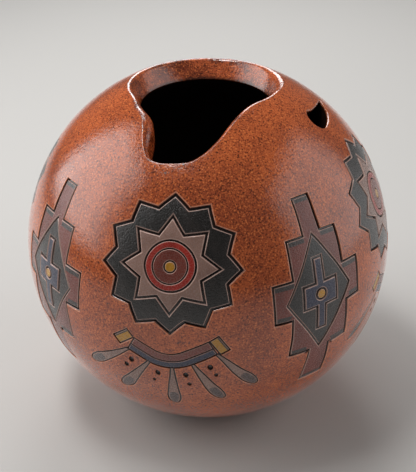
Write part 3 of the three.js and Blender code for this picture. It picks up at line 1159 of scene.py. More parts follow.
@dataclass
class FeatherFan:
    """Feather fan under each medallion: two bands that dip, a bar at each end and a row of feathers.

    Attributes:
        gap: Distance from the medallion along the skin.
        left: Left end of the bands' top edge.
        right: Right end of the bands' top edge.
        dip: Where the top edge's two runs would meet.
        bend_share: Share of each run that the bend takes.
        upper_width: Width of the upper band.
        lower_width: Width of the lower band.
        bar_length: Length of the end bars.
        bar_width: Width of the end bars.
        bar_clearance: Distance from the bands to the bars.
        left_tilt: Tilt of the left bar.
        right_tilt: Tilt of the right bar.
        bar_shade: Width of the darker band along the bars' outer sides.
        leans: Leans of the feathers.
        root_shares: Where along the bands the feathers hang.
        length: Length of a feather.
        width: Greatest width of a feather.
        root_width: Width of a feather at its root.
        widest_share: Where along its length a feather is widest.
        tip_share: Where along its length a feather's dark tip begins.
        tip_margin: Width of the pale edge that is left round a dark tip.
        dots: Punched dots beside the feathers, as across, up and radius.
    """

    gap: float = 15.5
    left: Vector = field(default_factory=lambda: flat(-13.4, 11.6))
    right: Vector = field(default_factory=lambda: flat(13.4, 12.4))
    dip: Vector = field(default_factory=lambda: flat(-1.4, 5.2))
    bend_share: float = 0.36
    upper_width: float = 3.4
    lower_width: float = 2.9
    bar_length: float = 7.0
    bar_width: float = 4.0
    bar_clearance: float = 0.5
    left_tilt: float = 25.0
    right_tilt: float = 5.0
    bar_shade: float = 1.1
    leans: tuple[float, ...] = (-53.0, -35.0, -3.0, 25.0, 38.0)
    root_shares: tuple[float, ...] = (0.0, 0.3, 0.475, 0.66, 1.0)
    length: float = 24.0
    width: float = 4.8
    root_width: float = 0.95
    widest_share: float = 0.72
    tip_share: float = 0.6
    tip_margin: float = 0.55
    dots: tuple[tuple[float, float, float], ...] = (
        (-15.3, 1.1, 1.0),
        (-17.6, -2.1, 0.9),
        (-5.6, -3.1, 1.0),
        (-7.2, -7.5, 0.65),
        (4.5, -3.0, 1.0),
        (5.4, -8.4, 0.85),
        (13.2, 0.8, 1.05),
        (15.2, -3.3, 0.75),
    )

    # Stretches of the bands' bend and of each side of a feather's tip, and how far a dark tip's edge curves
    BEND_STEPS = 12
    TIP_STEPS = 7
    TIP_BULGE = 1.2

    @property
    def depth(self) -> float:
        """Depth of both bands."""
        return self.upper_width + self.lower_width

    def edge(self) -> Outline:
        """Draws the top edge of the bands.

        Returns:
            The edge from left to right.
        """
        start = self.dip.lerp(self.left, self.bend_share)
        end = self.dip.lerp(self.right, self.bend_share)
        return [self.left, start, *bent(start, self.dip, end, self.BEND_STEPS), self.right]

    def along(self, share: float) -> tuple[Vector, Vector]:
        """Finds a point along the top edge.

        Args:
            share: Share of the edge's length.

        Returns:
            The point and the way that the edge runs there.
        """
        edge = self.edge()
        runs = [after - before for before, after in zip(edge, edge[1:])]
        left_over = share * sum(run.length for run in runs)
        for spot, run in zip(edge, runs[:-1]):
            if left_over <= run.length:
                way = run.normalized()
                return spot + way * left_over, way
            left_over -= run.length
        way = runs[-1].normalized()
        return edge[-2] + way * left_over, way

    def band(self, top: float, bottom: float) -> Outline:
        """Band under the top edge, between two depths."""
        return lowered(self.edge(), bottom) + lowered(self.edge(), top)[::-1]

    def bar(self, hand: int, tilt: float) -> Outline:
        """Draws the bar past one end of the bands.

        Args:
            hand: -1 for the left bar and 1 for the right one.
            tilt: Tilt of the bar.

        Returns:
            The closed outline.
        """
        spot, way = self.along(0.0 if hand < 0 else 1.0)
        outwards = way * hand
        corner = spot + outwards * self.bar_clearance
        width = turned(outwards, hand * tilt) * self.bar_width
        length = turned(outwards, hand * (tilt - 90)) * self.bar_length
        outline = [corner, corner + length, corner + length + width, corner + width]
        return outline if hand > 0 else outline[::-1]

    def bar_field(self, name: str, hand: int, tilt: float) -> SlipField:
        """Draws a bar that is darker along its outer side.

        Args:
            name: Name of the field.
            hand: -1 for the left bar and 1 for the right one.
            tilt: Tilt of the bar.

        Returns:
            The field.
        """
        _, way = self.along(0.0 if hand < 0 else 1.0)
        outwards = turned(way * hand, hand * tilt)
        outline = self.bar(hand, tilt)
        outer = max(spot.dot(outwards) for spot in outline)
        line = outwards * (outer - self.bar_shade)
        return SlipField(
            name,
            Slot.OCHRE,
            outline,
            laying=LINED,
            marks=[(line, outwards)],
            wash=lambda spot: spot.to_2d().dot(outwards) - outer + self.bar_shade,
        )

    def feather(self) -> Outline:
        """Draws a feather that hangs from the origin and widens down to a round tip.

        Returns:
            The closed outline.
        """
        half = self.width / 2
        widest = -self.widest_share * self.length
        shoulder = widest + (-self.length - widest) * HANDLE
        left = flat(-half, widest)
        tip = flat(0.0, -self.length)
        right = flat(half, widest)
        down = bezier(left, flat(-half, shoulder), flat(-half / 2, -self.length), tip, self.TIP_STEPS)
        up = bezier(tip, flat(half / 2, -self.length), flat(half, shoulder), right, self.TIP_STEPS)
        return [flat(-self.root_width / 2, 0.0), left, *down, *up, flat(self.root_width / 2, 0.0)]

    def hung(self) -> list[tuple[float, Vector]]:
        """Finds where the feathers hang.

        Returns:
            Each feather's lean and root.
        """
        roots = []
        for lean, share in zip(self.leans, self.root_shares):
            spot, way = self.along(share)
            roots.append((lean, spot + turned(way, -90) * self.depth))
        return roots

    def half_width(self, down: float) -> float:
        """Measures a feather.

        Args:
            down: Distance from its root.

        Returns:
            Half its width there.
        """
        half = self.width / 2
        widest = self.widest_share * self.length
        if down < widest:
            return self.root_width / 2 + (half - self.root_width / 2) * down / widest
        share = min(1.0, (down - widest) / (self.length - widest))
        return half * math.sqrt(1 - share**2)

    def tip_wash(self, spot: Vector) -> float:
        """Finds how far inside a feather's dark tip a point lies.

        Args:
            spot: Point of the hanging feather.

        Returns:
            How far inside it the point lies, or less than nothing outside.
        """
        start = self.tip_share * self.length + self.TIP_BULGE * (2 * spot.x / self.width) ** 2
        aside = self.half_width(-spot.y) - abs(spot.x) - self.tip_margin
        return min(-spot.y - start, aside)

    def feather_slabs(self) -> list[Slab]:
        """Draws the feathers on the flat.

        Returns:
            A slab for each feather, with its tip painted.
        """
        slabs = []
        for lean, root in self.hung():
            part = SlipField("feather", Slot.TAUPE, self.feather(), laying=PAINTED, wash=self.tip_wash)
            slab = part.slab()
            slab.place(lean, root)
            slabs.append(slab)
        return slabs

    def fields(self) -> list[SlipField]:
        """Fields of the fan, without its feathers."""
        return [
            SlipField("fan_upper_band", Slot.MAUVE, self.band(0.0, self.upper_width), laying=LINED),
            SlipField("fan_lower_band", Slot.SLATE, self.band(self.upper_width, self.depth), laying=LINED),
            self.bar_field("fan_left_bar", -1, self.left_tilt),
            self.bar_field("fan_right_bar", 1, self.right_tilt),
        ]

    def pockets(self) -> list[list[Pocket]]:
        """Draws the pockets that are cut into the skin.

        Returns:
            The pockets in layers, within which they don't touch.
        """
        feathers = []
        for lean, root in self.hung():
            feathers.append(([turned(spot, lean) + root for spot in self.feather()], PAINTED))
        bars = [(self.bar(-1, self.left_tilt), LINED), (self.bar(1, self.right_tilt), LINED)]
        return [[(self.band(0.0, self.depth), LINED)], feathers, bars]


@dataclass
class SteppedDiamond:
    """Stepped diamond on each corner: steps, a field set into them, a cross and a dot.

    Attributes:
        latitude: Angle of its middle above the pot's middle.
        bar_half: Half the width of the top bar.
        bar_height: Height of the top bar.
        upper_out: How far the upper tier stands out past the bar.
        upper_height: Height of the upper tier.
        middle_out: How far the middle tier stands out past the upper one.
        middle_height: Height of the middle tier.
        middle_top: Where the middle tier's top lies.
        lower_in: How far the lower tier stands back from the middle one.
        lower_splay: How much each half of the lower tier widens downwards.
        lower_height: Height of the lower tier.
        foot_in: How far the foot stands back from the lower tier.
        foot_splay: How much each half of the foot widens downwards.
        foot_height: Height of the foot.
        groove: Width of the grooves that the field's sides keep clear of.
        neck: Width of the steps between the field and an inner corner.
        stem_half: Half the width of the cross's stem.
        stem_half_height: Half the height of the cross's stem.
        arm_half: Half the length of the cross's arms.
        arm_half_height: Half the height of the cross's arms.
        dot_radius: Radius of the dot.
        shade_width: Width of the dark coat along the steps' level edges.
    """

    latitude: float = 7.5
    bar_half: float = 3.6
    bar_height: float = 15.6
    upper_out: float = 7.2
    upper_height: float = 14.8
    middle_out: float = 8.1
    middle_height: float = 14.6
    middle_top: float = 8.5
    lower_in: float = 7.0
    lower_splay: float = 1.2
    lower_height: float = 16.2
    foot_in: float = 8.8
    foot_splay: float = 1.2
    foot_height: float = 19.6
    groove: float = 0.9
    neck: float = 0.4
    stem_half: float = 1.9
    stem_half_height: float = 13.8
    arm_half: float = 7.3
    arm_half_height: float = 4.5
    dot_radius: float = 1.9
    shade_width: float = 2.4

    # Sides of the dot
    DOT_SIDES = 24

    @property
    def upper_half(self) -> float:
        """Half the width of the upper tier."""
        return self.bar_half + self.upper_out

    @property
    def middle_half(self) -> float:
        """Half the width of the middle tier."""
        return self.upper_half + self.middle_out

    @property
    def lower_half(self) -> float:
        """Half the width of the lower tier at its top."""
        return self.middle_half - self.lower_in

    @property
    def upper_top(self) -> float:
        """Where the upper tier's top lies."""
        return self.middle_top + self.upper_height

    @property
    def middle_bottom(self) -> float:
        """Where the middle tier's bottom lies."""
        return self.middle_top - self.middle_height

    @property
    def lower_bottom(self) -> float:
        """Where the lower tier's bottom lies."""
        return self.middle_bottom - self.lower_height

    def steps(self) -> Outline:
        """Draws the steps.

        Returns:
            The closed outline.
        """
        lower_foot = self.lower_half + self.lower_splay
        foot_half = lower_foot - self.foot_in
        return mirrored(
            [
                flat(self.bar_half, self.upper_top + self.bar_height),
                flat(self.bar_half, self.upper_top),
                flat(self.upper_half, self.upper_top),
                flat(self.upper_half, self.middle_top),
                flat(self.middle_half, self.middle_top),
                flat(self.middle_half, self.middle_bottom),
                flat(self.lower_half, self.middle_bottom),
                flat(lower_foot, self.lower_bottom),
                flat(foot_half, self.lower_bottom),
                flat(foot_half + self.foot_splay, self.lower_bottom - self.foot_height),
            ]
        )

    def side_tip(self) -> Vector:
        """Finds the right tip of the field.

        Returns:
            The tip, with both sides clear of the steps' inner corners.
        """
        clearance = self.groove / 2 * (1 + math.sqrt(2)) + self.neck
        top = flat(0.0, self.upper_top)
        bottom = flat(0.0, self.lower_bottom)
        to_upper = flat(self.upper_half, self.middle_top) - top
        to_lower = flat(self.lower_half, self.middle_bottom) - bottom
        down = turned(to_upper, -math.degrees(math.asin(clearance / to_upper.length)))
        rise = turned(to_lower, math.degrees(math.asin(clearance / to_lower.length)))
        share = (bottom - top).cross(rise) / down.cross(rise)
        return top + down * share

    def shade(self, spot: Vector) -> float:
        """Finds how far inside the dark coat along the steps' level edges a point lies.

        Args:
            spot: Point of the steps.

        Returns:
            How far inside it the point lies, or less than nothing outside.
        """
        across = abs(spot.x)
        tops = [self.upper_top + self.bar_height]
        bottoms = [self.lower_bottom - self.foot_height]
        if across > self.bar_half:
            tops.append(self.upper_top)
        if across > self.upper_half:
            tops.append(self.middle_top)
        if across > self.lower_half:
            bottoms.append(self.middle_bottom)
        if across > self.lower_half + self.lower_splay - self.foot_in:
            bottoms.append(self.lower_bottom)
        depths = [top - spot.y for top in tops] + [spot.y - bottom for bottom in bottoms]
        return self.shade_width - min(depth for depth in depths if depth > 0)

    def shade_marks(self) -> list[Mark]:
        """Draws the lines that the dark coat follows.

        Returns:
            The lines.
        """
        levels = [self.upper_top + self.bar_height, self.upper_top, self.middle_top]
        levels = [level - self.shade_width for level in levels]
        floors = [self.middle_bottom, self.lower_bottom, self.lower_bottom - self.foot_height]
        levels += [level + self.shade_width for level in floors]
        lines = [(flat(0.0, level), flat(0.0, 1.0)) for level in levels]
        for half in (self.bar_half, self.upper_half, self.lower_half):
            lines += [(flat(hand * half, 0.0), flat(1.0, 0.0)) for hand in (-1, 1)]
        return lines

    def fields(self) -> list[SlipField]:
        """Draws the fields of the diamond.

        Returns:
            The fields, from the outside in.
        """
        middle = (self.upper_top + self.lower_bottom) / 2
        tip = self.side_tip()
        diamond = [flat(0.0, self.upper_top), flat(-tip.x, tip.y), flat(0.0, self.lower_bottom), tip]
        cross = mirrored(
            [
                flat(self.stem_half, middle + self.stem_half_height),
                flat(self.stem_half, middle + self.arm_half_height),
                flat(self.arm_half, middle + self.arm_half_height),
                flat(self.arm_half, middle - self.arm_half_height),
                flat(self.stem_half, middle - self.arm_half_height),
                flat(self.stem_half, middle - self.stem_half_height),
            ]
        )
        dot = circle(flat(0.0, middle), self.dot_radius, self.DOT_SIDES)
        marks = self.shade_marks()
        return [
            SlipField("diamond_steps", Slot.MAUVE, self.steps(), diamond, NECKED, marks, self.shade),
            SlipField("diamond_field", Slot.CHARCOAL, diamond, cross, SUNK),
            SlipField("diamond_cross", Slot.SLATE, cross, dot),
            SlipField("diamond_dot", Slot.OCHRE, dot, laying=FINE),
        ]

    def pockets(self) -> list[list[Pocket]]:
        """Pockets that are cut into the skin, in layers within which they don't touch."""
        return [[(self.steps(), CARVED)]]


@dataclass
class Mouth:
    """Free-form mouth: a round opening with a tongue cut down to the front.

    Attributes:
        radius: Radius of the round opening.
        back_offset: How far its middle lies behind the pot's axis.
        right_angle: Where its round edge begins.
        left_angle: Where its round edge ends.
        tongue_length: Reach of the tongue to the front.
        tongue_left: Width of the tongue to the left.
        tongue_right: Width of the tongue to the right.
        left_edge: Tongue's edge on the left, as shares of its width and length.
        right_edge: Tongue's edge on the right, as shares of its width and length.
        outer_round: Radius of the outer rim.
        inner_round: Radius of the inner rim.
        inset: How far the cut wall stands inside the outline, so that the outline runs along the rim.
        round_slant: How far the slanted knife moves the inner rim round the opening, across and up the plane.
        tongue_slant: How far it moves the inner rim along the tongue.
        slant_turn: Where along the tongue the knife turns from one slant to the other.
        soft_spots: Where thumbs rounded the outer rim more: the middle, the reach and how much more.
    """

    radius: float = 30.0
    back_offset: float = 2.5
    right_angle: float = -32.0
    left_angle: float = 212.0
    tongue_length: float = 58.0
    tongue_left: float = 15.5
    tongue_right: float = 15.0
    left_edge: tuple[tuple[float, float], ...] = (
        (1.36, 0.385),
        (1.05, 0.51),
        (0.98, 0.64),
        (1.01, 0.84),
        (0.9, 0.95),
        (0.6, 1.0),
        (0.1, 1.0),
    )
    right_edge: tuple[tuple[float, float], ...] = (
        (0.3, 0.97),
        (0.66, 0.87),
        (0.96, 0.71),
        (1.18, 0.51),
        (1.43, 0.34),
    )
    outer_round: float = 1.7
    inner_round: float = 0.5
    inset: float = 0.6
    round_slant: Vector = field(default_factory=lambda: flat(1.4, -4.0))
    tongue_slant: Vector = field(default_factory=lambda: flat(-1.0, -2.5))
    slant_turn: tuple[float, float] = (-24.0, -10.0)
    soft_spots: tuple[tuple[Vector, float, float], ...] = field(
        default_factory=lambda: ((flat(-15.5, -33.0), 17.0, 1.3), (flat(26.0, 12.0), 15.0, 0.8))
    )

    # Stretches of the round edge, and between two points of the tongue's edge
    ROUND_STEPS = 90
    EDGE_STEPS = 10

    def tongue_spot(self, width: float, shares: tuple[float, float]) -> Vector:
        """Point of the tongue's edge, at shares of a width and of the tongue's length."""
        across, reach = shares
        return flat(across * width, -reach * self.tongue_length)

    def outline(self) -> Outline:
        """Draws the mouth.

        Returns:
            The closed outline.
        """
        middle = flat(0.0, self.back_offset)
        back = arc(middle, self.radius, self.right_angle, self.left_angle, self.ROUND_STEPS)
        left = [self.tongue_spot(-self.tongue_left, shares) for shares in self.left_edge]
        right = [self.tongue_spot(self.tongue_right, shares) for shares in self.right_edge]
        whole = back + spline([back[-1], *left, *right, back[0]], self.EDGE_STEPS)[:-1]
        return grown(whole, -self.inset)

    def slant(self, spot: Vector) -> Vector:
        """Finds how far the inner rim is moved.

        Args:
            spot: Point of the outline.

        Returns:
            How far it is moved on the plane.
        """
        start, end = self.slant_turn
        share = min(max((spot.y - start) / (end - start), 0.0), 1.0)
        return self.tongue_slant.lerp(self.round_slant, share)

    def softness(self, spot: Vector) -> float:
        """Finds how much larger the outer rim's radius is.

        Args:
            spot: Point of the outline.

        Returns:
            How many times larger it is.
        """
        more = 0.0
        for middle, reach, rise in self.soft_spots:
            away = (spot.to_2d() - middle).length / reach
            more += rise * max(0.0, 1.0 - away * away)
        return 1.0 + more

    def latitude(self) -> float:
        """Latitude of the tongue's end."""
        return 90.0 - POT.plane_angle(self.tongue_length)


@dataclass
class Tear:
    """Tear-shaped hole through the right shoulder: a round head drawn out to a tip.

    Attributes:
        azimuth: Angle from the front towards +X.
        latitude: Angle above the pot's middle.
        head: Middle of the head.
        head_radius: Radius of its round head.
        length: Distance from the middle of the head to the tip.
        tip_rise: Height of the tip over the middle of the head.
        belly_share: Where along the length the full lower side bends.
        belly_drop: How far that bend lies under the head.
        nape_angle: Where the head's round edge begins.
        nape_across: How far to the right of the head's middle the hollow upper side bends.
        nape_drop: How far that bend lies under the head's top.
        rim_round: Radius of its rims.
        inset: How far its wall stands inside the outline, so that the outline runs along the rim.
    """

    azimuth: float = 90.0
    latitude: float = 51.0
    head: Vector = field(default_factory=lambda: flat(-5.6, 2.2))
    head_radius: float = 4.7
    length: float = 19.8
    tip_rise: float = 0.4
    belly_share: float = 0.6
    belly_drop: float = 0.7
    nape_angle: float = 80.0
    nape_across: float = 3.1
    nape_drop: float = 2.6
    rim_round: float = 0.8
    inset: float = 0.3

    # Where the head's round edge ends, and stretches of that edge and of each side
    CHIN_ANGLE = 270.0
    HEAD_STEPS = 30
    SIDE_STEPS = 14

    def outline(self) -> Outline:
        """Draws the hole.

        Returns:
            The closed outline.
        """
        round_head = arc(self.head, self.head_radius, self.nape_angle, self.CHIN_ANGLE, self.HEAD_STEPS)
        tip = self.head + flat(self.length, self.tip_rise)
        belly = self.head + flat(self.belly_share * self.length, -self.head_radius - self.belly_drop)
        nape = self.head + flat(self.nape_across, self.head_radius - self.nape_drop)
        lower = bent(round_head[-1], belly, tip, self.SIDE_STEPS)
        upper = bent(tip, nape, round_head[0], self.SIDE_STEPS)
        return grown(round_head + lower + upper[:-1], -self.inset)


@dataclass
class PotShell:
    """Fired clay shell, hollowed, opened at the mouth and the tear, and carved for the slip.

    Attributes:
        form: The pot's form.
        mouth: The mouth.
        tear: The tear-shaped hole.
        ring_steps: Number of stretches round the pot.
        profile_steps: Number of stretches up the pot.
    """

    form: PotForm
    mouth: Mouth
    tear: Tear
    ring_steps: int = 192
    profile_steps: int = 96

    # Cells of the openings' cuts
    MOUTH_CELL = 6.0
    TEAR_CELL = 3.0

    # The punches' depth under the skin, stretch upwards and sides
    PUNCH_DEPTH = 0.1
    PUNCH_RISE = 1.4
    PUNCH_SIDES = 16
    PUNCH_RINGS = 10

    # In metres, how near points are merged
    MERGE = 1e-7

    # Sharpest angle that is shaded smooth, how near a point counts as on a ball, and how level and low the
    # base's faces are
    SMOOTHEST = 50.0
    NEAR = 0.03
    LEVEL = 0.9999
    LOW_SHARE = 0.25

    def turned_ball(self, radius: float, lowest: float, surface: Surface) -> bpy.types.Mesh:
        """Ball with a flat foot, turned from its profile.

        Args:
            radius: Radius of the ball.
            lowest: Height of its flat foot under the pot's centre.
            surface: Surface that its faces belong to.

        Returns:
            The closed mesh.
        """
        start = math.degrees(math.asin(-lowest / radius))
        rim = arc(flat(0.0, self.form.centre_height), radius, start, 90.0, self.profile_steps)
        profile = [flat(0.0, rim[0].y), *rim[:-1], flat(0.0, rim[-1].y)]
        turning = bmesh.new()
        line = [turning.verts.new((spot.x * MM, 0.0, spot.y * MM)) for spot in profile]
        runs = [turning.edges.new(pair) for pair in zip(line, line[1:])]
        bmesh.ops.spin(
            turning,
            geom=[*line, *runs],
            axis=(0.0, 0.0, 1.0),
            angle=math.tau,
            steps=self.ring_steps,
            use_merge=True,
        )
        bmesh.ops.remove_doubles(turning, verts=turning.verts, dist=self.MERGE)
        bmesh.ops.recalc_face_normals(turning, faces=turning.faces)
        return mesh_of("ball", turning, surface)

    def cuts(self, slabs: Sequence[Cut], surface: Surface) -> bpy.types.Mesh:
        """Cuts through or into the skin, as one mesh.

        Args:
            slabs: Outlines, with the rings of their edges, the size of their cells and their places.
            surface: Surface that the cuts leave.

        Returns:
            The mesh of all the cuts.
        """
        whole = bmesh.new()
        for outline, rings, cell, place in slabs:
            slab = Slab(outline, None, cell)
            slab.raise_through(rings, place)
            slab.move_into(whole)
        return mesh_of("cuts", whole, surface)

    def punches(self, dots: Sequence[tuple[Vector, float, Place]]) -> bpy.types.Mesh:
        """Makes round-ended punches for the dots beside the feathers.

        Args:
            dots: Middle, radius and place of each dot.

        Returns:
            The mesh of all the punches.
        """
        whole = bmesh.new()
        for spot, radius, place in dots:
            tip = place.onto_pot(Vector((spot.x, spot.y, -self.PUNCH_DEPTH)))
            stretch = Matrix.Diagonal((1.0, self.PUNCH_RISE, 1.0, 1.0))
            matrix = Matrix.Translation(tip) @ place.axes().to_4x4() @ stretch
            bmesh.ops.create_uvsphere(
                whole,
                u_segments=self.PUNCH_SIDES,
                v_segments=self.PUNCH_RINGS,
                radius=radius * MM,
                matrix=matrix,
            )
        return mesh_of("punches", whole, Surface.GROOVE)

    def build(
        self, cuts: Sequence[bpy.types.Mesh], materials: Sequence[bpy.types.Material]
    ) -> bpy.types.Object:
        """Makes the shell.

        Args:
            cuts: What the carving takes out of the skin.
            materials: Materials of the surfaces.

        Returns:
            The shell as an object.
        """
        skin = self.turned_ball(self.form.radius, self.form.centre_height, Surface.SKIN)
        hollow = self.turned_ball(
            self.form.radius - self.form.wall, self.form.centre_height - self.form.floor, Surface.INSIDE
        )
        mouth = self.mouth
        mouth_rings = through_rings(mouth.outer_round, mouth.inner_round, mouth.slant, mouth.softness)
        tear_rings = through_rings(self.tear.rim_round, self.tear.rim_round)
        tear_place = Place(self.tear.azimuth, self.tear.latitude)
        mouth_place = Place(azimuth=0.0, latitude=90.0)
        opening = self.cuts([(mouth.outline(), mouth_rings, self.MOUTH_CELL, mouth_place)], Surface.WALL)
        tear = self.cuts([(self.tear.outline(), tear_rings, self.TEAR_CELL, tear_place)], Surface.HOLE)
        shell = new_object("pot_shell_fired", skin)
        for material in materials:
            shell.data.materials.append(material)
        for tool in (hollow, opening, tear, *cuts):
            self.cut_by(shell, tool)
        self.shade(shell.data)
        return shell

    def cut_by(self, shell: bpy.types.Object, tool: bpy.types.Mesh) -> None:
        """Cuts the shell by a closed mesh.

        Args:
            shell: The shell.
            tool: The closed mesh, which is used up.
        """
        for material in shell.data.materials:
            tool.materials.append(material)
        cutter = new_object("cutter", tool)
        cut = shell.modifiers.new("cut", "BOOLEAN")
        cut.operation = "DIFFERENCE"
        cut.solver = "MANIFOLD"
        cut.object = cutter
        bpy.context.view_layer.update()
        depsgraph = bpy.context.evaluated_depsgraph_get()
        result = bpy.data.meshes.new_from_object(shell.evaluated_get(depsgraph))
        shell.modifiers.remove(cut)
        before = shell.data
        shell.data = result
        bpy.data.objects.remove(cutter)
        bpy.data.meshes.remove(tool)
        bpy.data.meshes.remove(before)

    def shade(self, mesh: bpy.types.Mesh) -> None:
        """Shades the skin and the hollow as true balls, and rounds the rims into them.

        Args:
            mesh: Mesh of the shell.
        """
        near = self.NEAR * MM
        mesh.polygons.foreach_set("use_smooth", [True] * len(mesh.polygons))
        mesh.set_sharp_from_angle(angle=math.radians(self.SMOOTHEST))
        directions = [corner.vector.copy() for corner in mesh.corner_normals]
        skin_radius = self.form.radius * MM
        hollow_radius = (self.form.radius - self.form.wall) * MM
        for face in mesh.polygons:
            low = face.center.z < self.form.centre.z * self.LOW_SHARE
            level = low and abs(face.normal.z) > self.LEVEL
            for index in face.loop_indices:
                spot = mesh.vertices[mesh.loops[index].vertex_index].co - self.form.centre
                if level:
                    directions[index] = face.normal.copy()
                elif abs(spot.length - skin_radius) < near:
                    directions[index] = spot.normalized()
                elif face.material_index == Surface.INSIDE and abs(spot.length - hollow_radius) < near:
                    directions[index] = -spot.normalized()
        mesh.normals_split_custom_set(directions)


# The whole pot


Motif = SunMedallion | FeatherFan | SteppedDiamond


class SeedPot:
    """The shell and its motifs, built in order."""

    # How far hand-drawn lines stray
    WANDER = 0.28

    def __init__(self, palette: Palette) -> None:
        """Sets out the pot's parts and the places of its motifs.

        Args:
            palette: Materials of the pot.
        """
        self.palette = palette
        self.mouth = Mouth()
        self.tear = Tear()
        self.medallion = SunMedallion()
        self.fan = FeatherFan()
        self.diamond = SteppedDiamond()
        half = POT.plane_angle(self.medallion.reach)
        self.medallion_latitude = self.mouth.latitude() - POT.skin_angle(self.medallion.gap) - half
        self.fan_latitude = self.medallion_latitude - half - POT.skin_angle(self.fan.gap)

    def motifs(self) -> list[tuple[str, Motif, Place]]:
        """Sets out the motifs round the pot.

        Returns:
            Each motif with the name of its side or corner and its place.
        """
        found = []
        for side in Side:
            found.append((side.name, self.medallion, Place(side.value, self.medallion_latitude, self.WANDER)))
            found.append((side.name, self.fan, Place(side.value, self.fan_latitude, self.WANDER)))
        for corner in Corner:
            found.append((corner.name, self.diamond, Place(corner.value, self.diamond.latitude, self.WANDER)))
        return found

    def build_shell(self) -> None:
        """Makes the shell with its pockets and punched dots."""
        shell = PotShell(POT, self.mouth, self.tear)
        layers: dict[int, list[Cut]] = {}
        dots = []
        for _, motif, place in self.motifs():
            for index, pockets in enumerate(motif.pockets()):
                layer = layers.setdefault(index, [])
                layer += [(outline, laying.pocket_rings(), laying.cell, place) for outline, laying in pockets]
            if isinstance(motif, FeatherFan):
                dots += [(flat(across, up), radius, place) for across, up, radius in motif.dots]
        cuts = [shell.cuts(slabs, Surface.GROOVE) for slabs in layers.values()]
        made = shell.build([*cuts, shell.punches(dots)], self.palette.clay)
        dress(made, "pot_shell")

    def build_slip(self) -> None:
        """Makes every field of slip."""
        for name, motif, place in self.motifs():
            for part in motif.fields():
                self.lay(f"{name}_{part.name}", part.slot, [part.slab()], part.laying, place)
            if isinstance(motif, FeatherFan):
                self.lay(f"{name}_fan_feathers", Slot.TAUPE, motif.feather_slabs(), PAINTED, place)

    def lay(self, node: str, slot: Slot, slabs: Sequence[Slab], laying: Laying, place: Place) -> None:
        """Lays one field of slip in the place of its solid.

        Args:
            node: Name of the solid.
            slot: Slip of the field.
            slabs: Slabs that make up the field.
            laying: How it lies in its pocket.
            place: Where it lies on the pot.
        """
        mesh = joined_slabs(f"{node}_slip", slabs, laying.slip_rings(), place)
        mesh.materials.append(self.palette.slips[slot])
        dress(new_object(f"{node}_slip", mesh), node)


# Studio and camera


@dataclass
class SoftBox:
    """Large diffuse lamp that faces the pot.

    Attributes:
        name: Name of the lamp.
        way: Direction from the pot to the lamp.
        distance: Distance from the pot's centre in metres.
        width: Width in metres.
        height: Height in metres.
        power: Power in watts.
        upright: Whether it stands upright rather than tilting down to the pot.
        fade: Shares of its size over which it dims to its left, right, lower and upper edges, seen from
            behind it.
    """

    name: str
    way: tuple[float, float, float]
    distance: float
    width: float
    height: float
    power: float
    upright: bool = False
    fade: tuple[float, float, float, float] = (0.0, 0.0, 0.0, 0.0)

    def build(self) -> None:
        """Hangs the lamp."""
        lamp = bpy.data.lights.new(self.name, "AREA")
        lamp.shape = "RECTANGLE"
        lamp.size = self.width
        lamp.size_y = self.height
        lamp.energy = self.power
        if any(self.fade):
            self.dim(lamp)
        made = new_object(self.name, lamp)
        way = Vector(self.way).normalized()
        made.location = POT.centre + way * self.distance
        facing = Vector((way.x, way.y, 0.0)) if self.upright else way
        made.rotation_euler = facing.to_track_quat("Z", "Y").to_euler()

    def dim(self, lamp: bpy.types.AreaLight) -> None:
        """Dims the lamp to its edges.

        Args:
            lamp: The lamp.
        """
        lamp.use_nodes = True
        tree = lamp.node_tree
        spot = add(tree, "ShaderNodeNewGeometry", {}).outputs["Parametric"]
        across, up, _ = add(tree, "ShaderNodeSeparateXYZ", {0: spot}).outputs
        left, right, lower, upper = self.fade
        ranges = []
        for place, edge, inside in (
            (across, 0.0, left),
            (across, 1.0, 1.0 - right),
            (up, 0.0, lower),
            (up, 1.0, 1.0 - upper),
        ):
            if edge != inside:
                ranges.append({"Value": place, "From Min": edge, "From Max": inside})
        feed(tree.nodes["Emission"], {"Strength": product(tree, ranges)})


